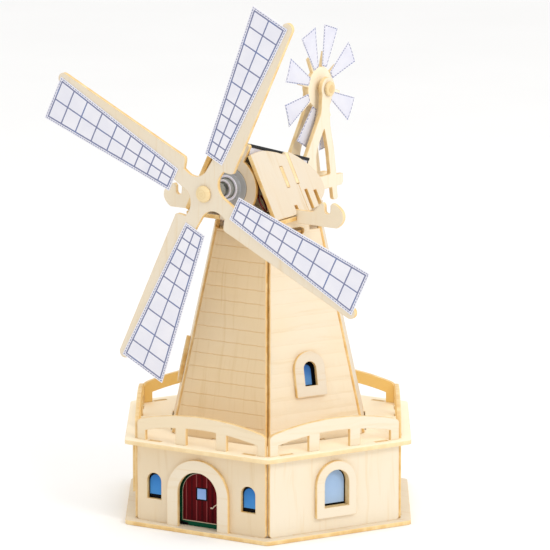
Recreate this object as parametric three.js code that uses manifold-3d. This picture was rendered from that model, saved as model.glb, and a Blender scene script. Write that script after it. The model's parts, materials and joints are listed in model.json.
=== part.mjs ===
// Wooden windmill jigsaw model: a hexagonal base house, a railed gallery, a tapered tower and a
// turning cap that carries the motor, the solar panel, the four sails and the fantail.
// Millimetres, +Z up, the door and the sails face -Y, the base stands on Z = 0.

import * as THREE from 'three';
import Module from 'manifold-3d';
import { mergeVertices } from 'three/addons/utils/BufferGeometryUtils.js';

const wasm = await Module();
wasm.setup();

// ---------------------------------------------------------------- driving dimensions

const PLY = 3.0; // every wooden sheet
const CARD = 0.5; // printed card
const FIT = 0.3; // clearance round a tab in its slot
const SEAT = 0.1; // glue line between two faces laid together
const TAB_DEPTH = 2.6;
const WALL_ANGLES = [-150, -90, -30, 30, 90, 150];
const WALL_NAMES = ['front_left', 'front', 'front_right', 'rear_right', 'rear', 'rear_left'];

const HEX_RADIUS = 118.0; // corner radius of base plate and gallery deck
const HEX_CORNER = 3.0;
const DECK_Z = 59.0; // underside of the gallery deck
const DECK_TOP = DECK_Z + PLY;

const HOUSE_APOTHEM = 95.0; // outer face of the house walls and of the railings
const HOUSE_HALF = 53.0;
const HOUSE_TAB = { s: 38.9, width: 10.0 };

// the doorway cut in the wall is wider than the opening of the arch that frames it
const DOOR = { s: -1.3, half: 16.3, spring: 27.9, archOuter: 25.2, wallHalf: 19.2 };
const SMALL_WINDOW = { s: 38.9, half: 5.9, sill: 19.7, spring: 32.9 };
const SIDE_WINDOW = { half: 10.0, sill: 20.0, spring: 37.0, frameHalf: 16.4, frameSill: 12.6 };

const RAIL = {
  half: 52.9, shoulder: 49.4, crown: 21.8, arc: 200.0, band: 9.0,
  post: 16.7, postHalf: 4.25, endInner: 46.2, tabHalf: 2.6,
};

const TOWER_APOTHEM = 69.3; // outer face at the deck
const TOWER_TOP_APOTHEM = 38.24; // outer face at TOWER_SHOULDER
const TOWER_SHOULDER = 208.8;
const TOWER_LUG = { half: 12.0, top: 216.6, slotHalf: 7.5, slotRadius: 2.6, slotZ: 208.6 };
const TOWER_TAB = { s: 17.0, width: 21.4 };
// set a little towards the front corner; the wall behind the frame is cut wider than the frame's opening
const TOWER_WINDOW = {
  shift: 1.1, half: 5.1, sill: 39.4, spring: 51.7, frameHalf: 12.4, frameSill: 31.8, wallHalf: 8.5, wallSill: 37.5,
};
const TOWER_TILT = Math.atan((TOWER_APOTHEM - TOWER_TOP_APOTHEM) / (TOWER_SHOULDER - DECK_TOP));
const FORMER_Z = 205.0;

const CAP_YAW = -4.1; // degrees, the cap stands turned a little to the left
const SHAFT_Z = 242.0;
const CAP_FLOOR_Z = 217.4;
const CAP_FLOOR_TOP = CAP_FLOOR_Z + PLY;
const CAP_FRONT = -48.1;
const TURNTABLE_RADIUS = 31.5;

// outer face of a roof board: half breadth at height ROOF_TOP_Z, and its slope
const ROOF_TOP_Z = 267.0;
const ROOF_TOP_HALF = 17.6;
const ROOF_SLOPE = THREE.MathUtils.degToRad(64.05);

const PANEL = { half: 15.0, front: -44.1, rear: 30.5, frontTop: 273.9, rearTop: 252.4, thick: 2.2 };
const ROOF_CARD = { half: 14.0, thick: 0.7, skirt: 7.5, setBack: 2.2 };

const MOTOR = { radius: 13.9, rear: -26.0, step: 9.4, stepFront: -53.2, boss: 6.9, bossFront: -58.4 };
const MOTOR_PLATE = { ring: 22.1, hole: 14.2, neckLow: 10.7, neckTop: 17.1, top: 273.6, foot: 9.0 };

const SAIL = {
  phase: 64.05, back: -77.0, hubArc: 13.0, neck: 17.0, neckRight: -6.0, neckLeft: 5.6,
  rootRadius: 24.7, rootRight: -7.0, edge: -14.9, farRoot: 4.7, tip: 145.6, tipMiddle: -9.4, tipRound: 4.3,
};
// the four card sheets are cut a little differently; the far edge and the tip are given per sheet
const SHEET = {
  root: 26.6, rootRight: -4.4, rootLeft: [11.6, 13.9, 13.9, 13.9],
  tip: [141.8, 143.4, 143.4, 143.4], tipRight: -10.0, tipLeft: [22.2, 24.6, 28.6, 24.6],
};
const SHAFT_RADIUS = 3.0;

const FAN = {
  y: 64.0, z: 297.6, hub: 15.3, spokeTip: 26.5, spokeHalf: 1.8, phase: 15.0,
  bladeRoot: 15.7, bladeRootHalf: 3.0, bladeTip: 45.3, bladeTipHalf: 9.0,
};
// how far each blade card is glued on ahead of the middle of its spoke, in degrees
const BLADE_LEADS = [2, 2, 13, 20, 15, 11, 9, 9];
const FAN_FRAME_INNER = 5.5; // inner face of each fantail frame from the middle plane

// ---------------------------------------------------------------- materials

function paint(name, color, roughness, metalness = 0.0) {
  const material = new THREE.MeshStandardMaterial({ color, roughness, metalness });
  material.name = name;
  return material;
}

const plywood = paint('plywood', 0xead9bb, 0.72);
const dowel = paint('dowel', 0xe6c98f, 0.65);
const sailCard = paint('sail_card', 0xecebf5, 0.6);
const printedCard = paint('printed_card', 0x7fa9dd, 0.55);
const panelBlack = paint('solar_cell', 0x0c0e12, 0.25);
const motorMetal = paint('motor_metal', 0x9a9c9e, 0.4, 0.85);
const wireRed = paint('wire_red', 0x7a1712, 0.5);

// ---------------------------------------------------------------- outline helpers

const radians = THREE.MathUtils.degToRad;

function arc(cx, cy, radius, fromDegrees, toDegrees, steps) {
  const points = [];
  for (let i = 0; i <= steps; i += 1) {
    const a = radians(fromDegrees + ((toDegrees - fromDegrees) * i) / steps);
    points.push([cx + radius * Math.cos(a), cy + radius * Math.sin(a)]);
  }
  return points;
}

function circle(cx, cy, radius, steps = 32) {
  return arc(cx, cy, radius, 0, 360, steps).slice(0, -1);
}

// the arc that runs from a through b to c
function arcThrough(a, b, c, steps) {
  const d = 2 * (a[0] * (b[1] - c[1]) + b[0] * (c[1] - a[1]) + c[0] * (a[1] - b[1]));
  const [aa, bb, cc] = [a, b, c].map((p) => p[0] * p[0] + p[1] * p[1]);
  const ux = (aa * (b[1] - c[1]) + bb * (c[1] - a[1]) + cc * (a[1] - b[1])) / d;
  const uy = (aa * (c[0] - b[0]) + bb * (a[0] - c[0]) + cc * (b[0] - a[0])) / d;
  const radius = Math.hypot(a[0] - ux, a[1] - uy);
  const start = Math.atan2(a[1] - uy, a[0] - ux);
  const middle = Math.atan2(b[1] - uy, b[0] - ux);
  const wrap = (angle) => ((angle % (2 * Math.PI)) + 2 * Math.PI) % (2 * Math.PI);
  let sweep = wrap(Math.atan2(c[1] - uy, c[0] - ux) - start);
  if (wrap(middle - start) > sweep) sweep -= 2 * Math.PI;
  const points = [];
  for (let i = 0; i <= steps; i += 1) {
    const angle = start + (sweep * i) / steps;
    points.push([ux + radius * Math.cos(angle), uy + radius * Math.sin(angle)]);
  }
  return points;
}

// softens every corner of a closed outline; radii may be one number or one per corner
function rounded(points, radii, steps = 3) {
  const result = [];
  points.forEach((corner, i) => {
    const radius = Array.isArray(radii) ? radii[i] : radii;
    const before = points[(i + points.length - 1) % points.length];
    const after = points[(i + 1) % points.length];
    const toBefore = [before[0] - corner[0], before[1] - corner[1]];
    const toAfter = [after[0] - corner[0], after[1] - corner[1]];
    const lengthBefore = Math.hypot(...toBefore);
    const lengthAfter = Math.hypot(...toAfter);
    const reach = Math.min(radius, lengthBefore * 0.45, lengthAfter * 0.45);
    if (reach < 0.05) {
      result.push(corner);
      return;
    }
    const start = corner.map((v, k) => v + (toBefore[k] / lengthBefore) * reach);
    const end = corner.map((v, k) => v + (toAfter[k] / lengthAfter) * reach);
    for (let j = 0; j <= steps; j += 1) {
      const t = j / steps;
      const bend = start.map((v, k) => (1 - t) ** 2 * v + 2 * t * (1 - t) * corner[k] + t * t * end[k]);
      result.push(bend);
    }
  });
  return result;
}

function mirrorX(points) {
  return points.map(([x, y]) => [-x, y]).reverse();
}

// closed outline from its right half, listed from bottom to top
function symmetric(rightHalf) {
  return [...rightHalf, ...mirrorX(rightHalf)];
}

function archOutline(centre, half, sill, spring, steps = 12) {
  return [[centre - half, sill], [centre + half, sill], ...arc(centre, spring, half, 0, 180, steps)];
}

function rotatedSlot(angleDegrees, s, apothem, length, width) {
  const a = radians(angleDegrees);
  const corners = [[-1, -1], [1, -1], [1, 1], [-1, 1]].map(([i, j]) => [(i * width) / 2, (j * length) / 2]);
  return corners.map(([out, along]) => [
    (apothem + out) * Math.cos(a) - (s + along) * Math.sin(a),
    (apothem + out) * Math.sin(a) + (s + along) * Math.cos(a),
  ]);
}

// ---------------------------------------------------------------- solid helpers

const toVectors = (points) => points.map(([x, y]) => new THREE.Vector2(x, y));

function prism(outline, thickness) {
  return new THREE.ExtrudeGeometry(new THREE.Shape(toVectors(outline)), {
    depth: thickness, bevelEnabled: false, steps: 1,
  });
}

function slab(outline, thickness = PLY, holes = []) {
  if (holes.length === 0) return prism(outline, thickness);
  const cutters = holes.map((hole) => toManifold(prism(hole, thickness + 2).translate(0, 0, -1)));
  const whole = toManifold(prism(outline, thickness));
  return toGeometry(cutters.reduce((solid, cutter) => solid.subtract(cutter), whole));
}

// puts a slab drawn in its own (x, y) plane on the plane through origin spanned by xDir and yDir
function place(geometry, origin, xDir, yDir) {
  const x = new THREE.Vector3(...xDir);
  const y = new THREE.Vector3(...yDir);
  const matrix = new THREE.Matrix4().makeBasis(x, y, new THREE.Vector3().crossVectors(x, y));
  matrix.setPosition(...origin);
  return geometry.applyMatrix4(matrix);
}

function flip(geometry) {
  const flat = geometry.index ? geometry.toNonIndexed() : geometry.clone();
  flat.scale(-1, 1, 1);
  const position = flat.attributes.position;
  const swap = new THREE.Vector3();
  for (let i = 0; i < position.count; i += 3) {
    swap.fromBufferAttribute(position, i + 1);
    position.setXYZ(i + 1, position.getX(i + 2), position.getY(i + 2), position.getZ(i + 2));
    position.setXYZ(i + 2, swap.x, swap.y, swap.z);
  }
  flat.computeVertexNormals();
  return flat;
}

function toManifold(geometry) {
  const bare = geometry.clone();
  bare.deleteAttribute('uv');
  bare.deleteAttribute('normal');
  const welded = mergeVertices(bare, 1e-4);
  return new wasm.Manifold(new wasm.Mesh({
    numProp: 3,
    vertProperties: new Float32Array(welded.attributes.position.array),
    triVerts: new Uint32Array(welded.index.array),
  }));
}

function toGeometry(solid) {
  const mesh = solid.getMesh();
  const indexed = new THREE.BufferGeometry();
  indexed.setAttribute('position', new THREE.Float32BufferAttribute(mesh.vertProperties, 3));
  indexed.setIndex(new THREE.Uint32BufferAttribute(mesh.triVerts, 1));
  const flat = indexed.toNonIndexed();
  flat.computeVertexNormals();
  return flat;
}

const join = (geometries) => toGeometry(geometries.map(toManifold).reduce((sum, next) => sum.add(next)));

// a turned piece: profile pairs are (radius, distance along the axis)
function turned(profile, segments, origin, axis) {
  const geometry = new THREE.LatheGeometry(toVectors(profile), segments);
  const turn = new THREE.Quaternion();
  turn.setFromUnitVectors(new THREE.Vector3(0, 1, 0), new THREE.Vector3(...axis));
  geometry.applyQuaternion(turn);
  geometry.translate(...origin);
  return geometry;
}

const group = new THREE.Group();
group.name = 'windmill_puzzle';
const capGroup = new THREE.Group();
capGroup.name = 'cap';
capGroup.rotation.z = radians(CAP_YAW);

function add(name, geometry, material, parent = group) {
  const mesh = new THREE.Mesh(geometry, material);
  mesh.name = name;
  parent.add(mesh);
  return mesh;
}

// ---------------------------------------------------------------- wall frames

// a slab laid outwards from the upright plane at distance `inner` that faces angleDegrees
function onWall(geometry, angleDegrees, inner, z) {
  const [ca, sa] = [Math.cos(radians(angleDegrees)), Math.sin(radians(angleDegrees))];
  return place(geometry, [inner * ca, inner * sa, z], [-sa, ca, 0], [0, 0, 1]);
}

// the same on the leaning tower; offset is measured outwards from the outer face of the wall
function onTower(geometry, angleDegrees, offset) {
  const [ca, sa] = [Math.cos(radians(angleDegrees)), Math.sin(radians(angleDegrees))];
  const [ct, st] = [Math.cos(TOWER_TILT), Math.sin(TOWER_TILT)];
  const outward = [ca * ct, sa * ct, st];
  const foot = [TOWER_APOTHEM * ca, TOWER_APOTHEM * sa, DECK_TOP];
  return place(geometry, foot.map((v, k) => v + outward[k] * offset), [-sa, ca, 0], [-ca * st, -sa * st, ct]);
}

const towerApothem = (z) => TOWER_APOTHEM - (z - DECK_TOP) * Math.tan(TOWER_TILT);
const alongTower = (z) => (z - DECK_TOP) / Math.cos(TOWER_TILT);
const towerHalf = (z) => towerApothem(z) * Math.tan(radians(30)) - 1.87;

// ---------------------------------------------------------------- base and deck

const hexOutline = rounded(arc(0, 0, HEX_RADIUS, -60, 240, 5), HEX_CORNER, 3);
const houseMiddle = HOUSE_APOTHEM - PLY / 2;
const houseSlots = WALL_ANGLES.flatMap((angle) => [-1, 1].map((side) => rotatedSlot(
  angle, side * HOUSE_TAB.s, houseMiddle, HOUSE_TAB.width + 2 * FIT, PLY + 2 * FIT,
)));
const railSlots = WALL_ANGLES.flatMap((angle) => [-1, 1].map((side) => rotatedSlot(
  angle, side * RAIL.post, houseMiddle, 2 * (RAIL.tabHalf + FIT), PLY + 2 * FIT,
)));
const towerSlots = WALL_ANGLES.flatMap((angle) => [-1, 1].map((side) => rotatedSlot(
  angle, side * TOWER_TAB.s, TOWER_APOTHEM - 1.25, TOWER_TAB.width + 2 * FIT, 4.4,
)));

add('base_plate', slab(hexOutline, PLY, houseSlots), plywood);
const deck = slab(hexOutline, PLY, [...houseSlots, ...railSlots, ...towerSlots]);
deck.translate(0, 0, DECK_Z);
add('gallery_deck', deck, plywood);

// ---------------------------------------------------------------- house walls

// heights in a wall outline are measured from the top of the base plate
const wallHeight = DECK_Z - PLY;

function houseOutline(door) {
  const { s, width } = HOUSE_TAB;
  const [near, far] = [s - width / 2, s + width / 2];
  const tab = [[near, 0], [near, -TAB_DEPTH], [far, -TAB_DEPTH], [far, 0]];
  const top = tab.map(([x, y]) => [x, wallHeight - y]).reverse();
  const right = [...tab, [HOUSE_HALF - 1.4, 0], [HOUSE_HALF, 1.4], [HOUSE_HALF, wallHeight], ...top];
  const doorway = door ? arc(DOOR.s, DOOR.spring - PLY, DOOR.wallHalf, 180, 0, 16) : [];
  const threshold = door ? [[DOOR.s - DOOR.wallHalf, 0], ...doorway, [DOOR.s + DOOR.wallHalf, 0]] : [];
  return [...threshold, ...right, ...mirrorX(right)];
}

const smallWindows = [-1, 1].map((side) => archOutline(
  side * SMALL_WINDOW.s, SMALL_WINDOW.half, SMALL_WINDOW.sill - PLY, SMALL_WINDOW.spring - PLY,
));
const sideWindow = archOutline(0, SIDE_WINDOW.half, SIDE_WINDOW.sill - PLY, SIDE_WINDOW.spring - PLY, 16);

WALL_ANGLES.forEach((angle, i) => {
  const isFront = angle === -90;
  const hasWindow = angle === -30 || angle === -150;
  const openings = isFront ? smallWindows : hasWindow ? [sideWindow] : [];
  const wall = slab(houseOutline(isFront), PLY, openings);
  add(`house_wall_${WALL_NAMES[i]}`, onWall(wall, angle, HOUSE_APOTHEM - PLY, PLY), plywood);
});

const doorArch = [
  [DOOR.s - DOOR.archOuter, 0], [DOOR.s - DOOR.half, 0],
  ...arc(DOOR.s, DOOR.spring - PLY, DOOR.half, 180, 0, 20),
  [DOOR.s + DOOR.half, 0], [DOOR.s + DOOR.archOuter, 0],
  ...arc(DOOR.s, DOOR.spring - PLY, DOOR.archOuter, 0, 180, 24),
];
add('door_arch', onWall(slab(doorArch), -90, HOUSE_APOTHEM + SEAT, PLY), plywood);

const sideFrameOutline = rounded(
  archOutline(0, SIDE_WINDOW.frameHalf, SIDE_WINDOW.frameSill - PLY, SIDE_WINDOW.spring - PLY, 20), 1.2, 2,
);
[['left', -150], ['right', -30]].forEach(([side, angle]) => {
  const frame = slab(sideFrameOutline, PLY, [sideWindow]);
  add(`house_window_frame_${side}`, onWall(frame, angle, HOUSE_APOTHEM + SEAT, PLY), plywood);
});

// one printed card strip stands behind the three front walls, folded at the two front corners
const stripOuter = HOUSE_APOTHEM - PLY - 0.2;
const stripPath = (apothem) => {
  const corner = apothem / Math.cos(radians(30));
  const end = (angle, s) => rotatedSlot(angle, s, apothem, 0, 0)[0];
  return [
    end(-150, -46), [corner * Math.cos(radians(-120)), corner * Math.sin(radians(-120))],
    [corner * Math.cos(radians(-60)), corner * Math.sin(radians(-60))], end(-30, 46),
  ];
};
const strip = slab([...stripPath(stripOuter), ...stripPath(stripOuter - CARD).reverse()], DECK_Z - PLY - 1.0);
strip.translate(0, 0, PLY + 0.5);
add('house_print_strip', strip, printedCard);

// ---------------------------------------------------------------- railings

function railHeight(s, drop) {
  return RAIL.crown - drop - (RAIL.arc - Math.sqrt(RAIL.arc * RAIL.arc - s * s));
}

function railBow(from, to, drop, steps) {
  const points = [];
  for (let i = 0; i <= steps; i += 1) {
    const s = from + ((to - from) * i) / steps;
    points.push([s, railHeight(s, drop)]);
  }
  return points;
}

const postInner = RAIL.post - RAIL.postHalf;
const postOuter = RAIL.post + RAIL.postHalf;
const railRight = [
  ...railBow(0.6, postInner, RAIL.band, 3), [postInner, 0],
  [RAIL.post - RAIL.tabHalf, 0], [RAIL.post - RAIL.tabHalf, -TAB_DEPTH],
  [RAIL.post + RAIL.tabHalf, -TAB_DEPTH], [RAIL.post + RAIL.tabHalf, 0], [postOuter, 0],
  ...railBow(postOuter, RAIL.endInner, RAIL.band, 5), [RAIL.endInner, 0],
  [RAIL.half, 0], [RAIL.half, railHeight(RAIL.shoulder, 0) - 3.4],
  [RAIL.half - 1.0, railHeight(RAIL.shoulder, 0) - 1.3], ...railBow(RAIL.shoulder, 0.6, 0, 12),
];
WALL_ANGLES.forEach((angle, i) => {
  const railing = slab([...railRight, ...mirrorX(railRight)]);
  add(`railing_${WALL_NAMES[i]}`, onWall(railing, angle, HOUSE_APOTHEM - PLY, DECK_TOP), plywood);
});

// ---------------------------------------------------------------- tower

const towerFoot = 0.67; // lifts the square-cut foot so that its inner corner just meets the deck
const towerRight = [
  [TOWER_TAB.s - TOWER_TAB.width / 2, towerFoot], [TOWER_TAB.s - TOWER_TAB.width / 2, -TAB_DEPTH],
  [TOWER_TAB.s + TOWER_TAB.width / 2, -TAB_DEPTH], [TOWER_TAB.s + TOWER_TAB.width / 2, towerFoot],
  [towerHalf(DECK_TOP + towerFoot), towerFoot], [towerHalf(TOWER_SHOULDER), alongTower(TOWER_SHOULDER)],
  [TOWER_LUG.half, alongTower(TOWER_SHOULDER)], [TOWER_LUG.half, alongTower(TOWER_LUG.top)],
];
const lugV = alongTower(TOWER_LUG.slotZ);
const lugReach = TOWER_LUG.slotHalf - TOWER_LUG.slotRadius;
const lugSlot = [
  ...arc(lugReach, lugV, TOWER_LUG.slotRadius, -90, 90, 8),
  ...arc(-lugReach, lugV, TOWER_LUG.slotRadius, 90, 270, 8),
];
const towerCardTop = TOWER_WINDOW.spring + TOWER_WINDOW.wallHalf + 2.3;
const towerCard = [[-10.5, 35], [10.5, 35], [10.5, towerCardTop], [-10.5, towerCardTop]];

function towerArch(centre, half, sill) {
  return archOutline(centre, half, sill, TOWER_WINDOW.spring, 18);
}

WALL_ANGLES.forEach((angle, i) => {
  const openings = [lugSlot];
  if (angle === -30) openings.push(towerArch(-TOWER_WINDOW.shift, TOWER_WINDOW.wallHalf, TOWER_WINDOW.wallSill));
  if (angle === -150) openings.push(towerArch(TOWER_WINDOW.shift, TOWER_WINDOW.wallHalf, TOWER_WINDOW.wallSill));
  const wall = slab(symmetric(towerRight), PLY, openings);
  add(`tower_wall_${WALL_NAMES[i]}`, onTower(wall, angle, -PLY), plywood);
});
[['left', -150, TOWER_WINDOW.shift], ['right', -30, -TOWER_WINDOW.shift]].forEach(([side, angle, centre]) => {
  const outline = rounded(towerArch(centre, TOWER_WINDOW.frameHalf, TOWER_WINDOW.frameSill), 1.2, 2);
  const frame = slab(outline, PLY, [towerArch(centre, TOWER_WINDOW.half, TOWER_WINDOW.sill)]);
  add(`tower_window_frame_${side}`, onTower(frame, angle, SEAT), plywood);
  add(`tower_window_print_${side}`, onTower(slab(towerCard, CARD), angle, -PLY - 0.2 - CARD), printedCard);
});

const formerApothem = towerApothem(FORMER_Z + PLY) - PLY / Math.cos(TOWER_TILT) - 0.4;
const former = slab(arc(0, 0, formerApothem / Math.cos(radians(30)), -60, 240, 5), PLY, [circle(0, 0, 4.4)]);
former.translate(0, 0, FORMER_Z);
add('tower_former', former, plywood);

// ---------------------------------------------------------------- cap floor and turntable

const footNotch = MOTOR_PLATE.foot + 0.4;
const floorOutline = symmetric([
  [footNotch, CAP_FRONT + PLY + 0.3], [footNotch, CAP_FRONT], [38.0, CAP_FRONT], [38.0, 12.0], [20.0, 40.0],
]);
const capFloor = slab(floorOutline, PLY);
capFloor.translate(0, 0, CAP_FLOOR_Z);
const turntable = turned(
  [[0, 0], [4.0, 0], [4.0, 9.4], [TURNTABLE_RADIUS, 9.4], [TURNTABLE_RADIUS, 19.6], [0, 19.6]],
  48, [0, 0, CAP_FLOOR_Z + 1.0 - 19.6], [0, 0, 1],
);
add('cap_floor', join([capFloor, turntable]), plywood, capGroup);

// ---------------------------------------------------------------- roof boards

const roofCos = Math.cos(ROOF_SLOPE);
const roofSin = Math.sin(ROOF_SLOPE);
const outerRoof = (z) => ROOF_TOP_HALF + ((ROOF_TOP_Z - z) * roofCos) / roofSin;
const innerRoof = (z) => outerRoof(z) - PLY / roofSin - 0.35;
const roofDrop = (z) => (z - ROOF_TOP_Z) / roofSin;

// a tab of a cross frame that fills a slot of the board square to the board
function roofTab(low, high) {
  const depth = PLY + 0.35 * roofSin;
  const inward = (z) => [outerRoof(z) - depth * roofSin, z - depth * roofCos];
  return [inward(low), [outerRoof(low), low], [outerRoof(high), high], inward(high)];
}

// a roof board is drawn as (distance to the rear, distance up the slope from the top line)
function roofBoard(outline, holes = []) {
  const origin = [ROOF_TOP_HALF - PLY * roofSin, 0, ROOF_TOP_Z - PLY * roofCos];
  return place(slab(outline, PLY, holes), origin, [0, 1, 0], [-roofCos, 0, roofSin]);
}

const BEAM_Y = -20.5; // front face of the hooked beam
const RIB_Y = -8.0; // front face of the middle rib
const ribGap = [RIB_Y - FIT, RIB_Y + PLY + FIT];
const beamGap = [BEAM_Y - FIT, BEAM_Y + PLY + FIT];
const frontBoard = [
  [-48.0, -49.0], [-47.0, -50.0], [-24.6, -50.0], [beamGap[0], -48.4], [beamGap[0], -43.2],
  [beamGap[1], -43.2], [beamGap[1], -50.0], [-6.7, -50.0], [-6.7, -28.9], [ribGap[0], -28.9],
  [ribGap[0], -6.2], [-12.2, -5.2], [-17.6, -3.2], [-23.0, -1.6], [-28.8, -0.1], [-34.6, 0.6],
  [-41.0, 0.6], [-48.0, -0.2],
];
const beamTabSlot = [
  [beamGap[0], roofDrop(240.2)], [beamGap[1], roofDrop(240.2)], [beamGap[1], roofDrop(254.8)],
  [beamGap[0], roofDrop(254.8)],
];
const rearBoard = [
  [-6.3, -50.0], [-2.3, -49.4], [-2.3, -34.0], [1.3, -34.0], [1.3, -48.6], [7.6, -48.0], [7.9, -36.2],
  [11.5, -36.2], [11.9, -46.9], [13.6, -43.9], [17.4, -41.6], [20.6, -38.8], [22.2, -35.4], [22.2, -31.0],
  [21.1, -26.9], [17.3, -20.9], [12.2, -15.8], [6.8, -11.4], [1.8, -8.0], [-3.2, -5.2], [ribGap[1], -5.4],
  [ribGap[1], -28.9], [-6.3, -28.9],
];
add('roof_board_front_right', roofBoard(frontBoard, [beamTabSlot]), plywood, capGroup);
add('roof_board_front_left', flip(roofBoard(frontBoard, [beamTabSlot])), plywood, capGroup);
add('roof_board_rear_right', roofBoard(rearBoard), plywood, capGroup);
add('roof_board_rear_left', flip(roofBoard(rearBoard)), plywood, capGroup);

// ---------------------------------------------------------------- cross frames of the cap

// a plate standing across the cap, front face at yFront
function across(outline, yFront, holes = []) {
  return place(slab(outline, PLY, holes), [0, yFront + PLY, 0], [1, 0, 0], [0, 0, 1]);
}

const panelTop = (y) => PANEL.frontTop
  + ((y - PANEL.front) * (PANEL.rearTop - PANEL.frontTop)) / (PANEL.rear - PANEL.front);
const ribTop = (y) => panelTop(y) - 4.3;
const TRAY_INSIDE = ROOF_CARD.half - ROOF_CARD.thick - 0.4;
const TRAY_DEPTH = 8.6;
const beamTop = ribTop(BEAM_Y + PLY);
const hook = [
  [38.5, 220.8], [38.5, 215.5], [72.0, 215.5], [75.8, 218.6], [77.8, 222.6], [77.4, 226.8], [75.0, 229.8],
  [71.0, 232.4], [68.4, 232.9], [67.0, 231.2], ...arc(64.5, 227.6, 2.5, 0, -180, 6), [61.8, 231.0],
  [60.4, 232.6], [58.6, 232.0], [53.4, 226.4], [50.6, 225.2], [innerRoof(225.2), 225.2],
];
const beamRight = [
  ...hook, ...roofTab(240.5, 254.5), [TRAY_INSIDE, beamTop - TRAY_DEPTH], [TRAY_INSIDE, beamTop],
];
add('hooked_beam', across(symmetric(beamRight), BEAM_Y), plywood, capGroup);

const ribRoof = ribTop(RIB_Y + PLY);
const ribRight = [
  [innerRoof(220.8), 220.8], ...roofTab(241.5, 262.3).slice(0, 3),
  [outerRoof(262.3) - 2.4, 262.3], [outerRoof(262.3) - 2.9, 260.6],
  [outerRoof(262.3) - 2.9, ribRoof - TRAY_DEPTH], [TRAY_INSIDE, ribRoof - TRAY_DEPTH], [TRAY_INSIDE, ribRoof],
];
add('roof_rib', across(symmetric(ribRight), RIB_Y), plywood, capGroup);

const ringStart = THREE.MathUtils.radToDeg(Math.asin(11.2 / MOTOR_PLATE.ring));
const footStart = THREE.MathUtils.radToDeg(Math.asin(MOTOR_PLATE.foot / MOTOR_PLATE.ring));
const motorPlateRight = [
  [MOTOR_PLATE.foot, CAP_FLOOR_Z],
  ...arc(0, SHAFT_Z, MOTOR_PLATE.ring, -90 + footStart, 90 - ringStart, 18),
  [MOTOR_PLATE.neckLow + 1.2, 262.4], [MOTOR_PLATE.neckTop - 0.4, 272.2],
  [MOTOR_PLATE.neckTop - 1.4, MOTOR_PLATE.top],
];
const motorHole = circle(0, SHAFT_Z, MOTOR_PLATE.hole, 36);
add('motor_plate', across(symmetric(motorPlateRight), CAP_FRONT, [motorHole]), plywood, capGroup);

// ---------------------------------------------------------------- solar panel and its card tray

const panelSlope = Math.atan2(PANEL.frontTop - PANEL.rearTop, PANEL.rear - PANEL.front);
const panelLength = (PANEL.rear - PANEL.front) / Math.cos(panelSlope);
const panelAlong = [0, Math.cos(panelSlope), -Math.sin(panelSlope)];
const panelUp = [0, Math.sin(panelSlope), Math.cos(panelSlope)];

// drawn in (distance to the right, distance up from the panel face), extruded forwards from the rear
function underPanel(outline, length) {
  const rear = panelAlong.map((v, k) => [0, PANEL.front, PANEL.frontTop][k] + v * panelLength);
  return place(slab(outline, length), rear, [1, 0, 0], panelUp);
}

const panelOutline = rounded([
  [PANEL.half, -PANEL.thick], [PANEL.half, 0], [-PANEL.half, 0], [-PANEL.half, -PANEL.thick],
], 0.4, 2);
add('solar_panel', underPanel(panelOutline, panelLength), panelBlack, capGroup);

const trayTop = -PANEL.thick - SEAT;
const trayRight = [
  [ROOF_CARD.half - ROOF_CARD.thick, trayTop - ROOF_CARD.thick],
  [ROOF_CARD.half - ROOF_CARD.thick, trayTop - ROOF_CARD.skirt],
  [ROOF_CARD.half, trayTop - ROOF_CARD.skirt], [ROOF_CARD.half, trayTop],
];
add('panel_tray', underPanel(symmetric(trayRight), panelLength - ROOF_CARD.setBack), sailCard, capGroup);

// ---------------------------------------------------------------- motor and lead

add('motor', turned([
  [0, 0], [MOTOR.radius, 0], [MOTOR.radius, -(CAP_FRONT - 0.4) + MOTOR.rear],
  [MOTOR.step, -(CAP_FRONT - 0.4) + MOTOR.rear], [MOTOR.step, MOTOR.rear - MOTOR.stepFront],
  [MOTOR.boss, MOTOR.rear - MOTOR.stepFront], [MOTOR.boss, MOTOR.rear - MOTOR.bossFront],
  [1.6, MOTOR.rear - MOTOR.bossFront], [1.6, 24.0], [0, 24.0],
], 32, [0, MOTOR.rear, SHAFT_Z], [0, -1, 0]), motorMetal, capGroup);

const leadPath = new THREE.CatmullRomCurve3([
  [5.0, -25.4, 238.0], [7.0, -24.0, 235.4], [9.0, -23.2, 233.0], [12.0, -23.9, 230.0], [15.0, -26.0, 227.6],
  [17.9, -29.1, 225.8], [20.4, -32.6, 224.9], [22.4, -35.7, 224.7], [23.6, -38.2, 225.4], [23.9, -40.2, 226.9],
  [23.4, -41.6, 228.6], [21.8, -41.8, 231.4], [19.8, -41.4, 234.6], [18.4, -39.9, 238.6], [17.6, -38.4, 243.0],
  [16.3, -37.2, 248.6], [14.6, -36.6, 254.0], [12.2, -36.8, 258.8], [9.6, -37.2, 263.0], [7.4, -37.4, 268.0],
].map((p) => new THREE.Vector3(...p)));
add('motor_lead', new THREE.ExtrudeGeometry(new THREE.Shape(toVectors(circle(0, 0, 0.6, 8))), {
  steps: 36, bevelEnabled: false, extrudePath: leadPath,
}), wireRed, capGroup);

// ---------------------------------------------------------------- sails

// (distance from the hub, distance to the left of the arm's middle line) on arm k, as plan (x, z)
function onArm(k, radial, left) {
  const a = radians(SAIL.phase + 90 * k);
  return [radial * Math.cos(a) - left * Math.sin(a), radial * Math.sin(a) + left * Math.cos(a)];
}

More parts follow.
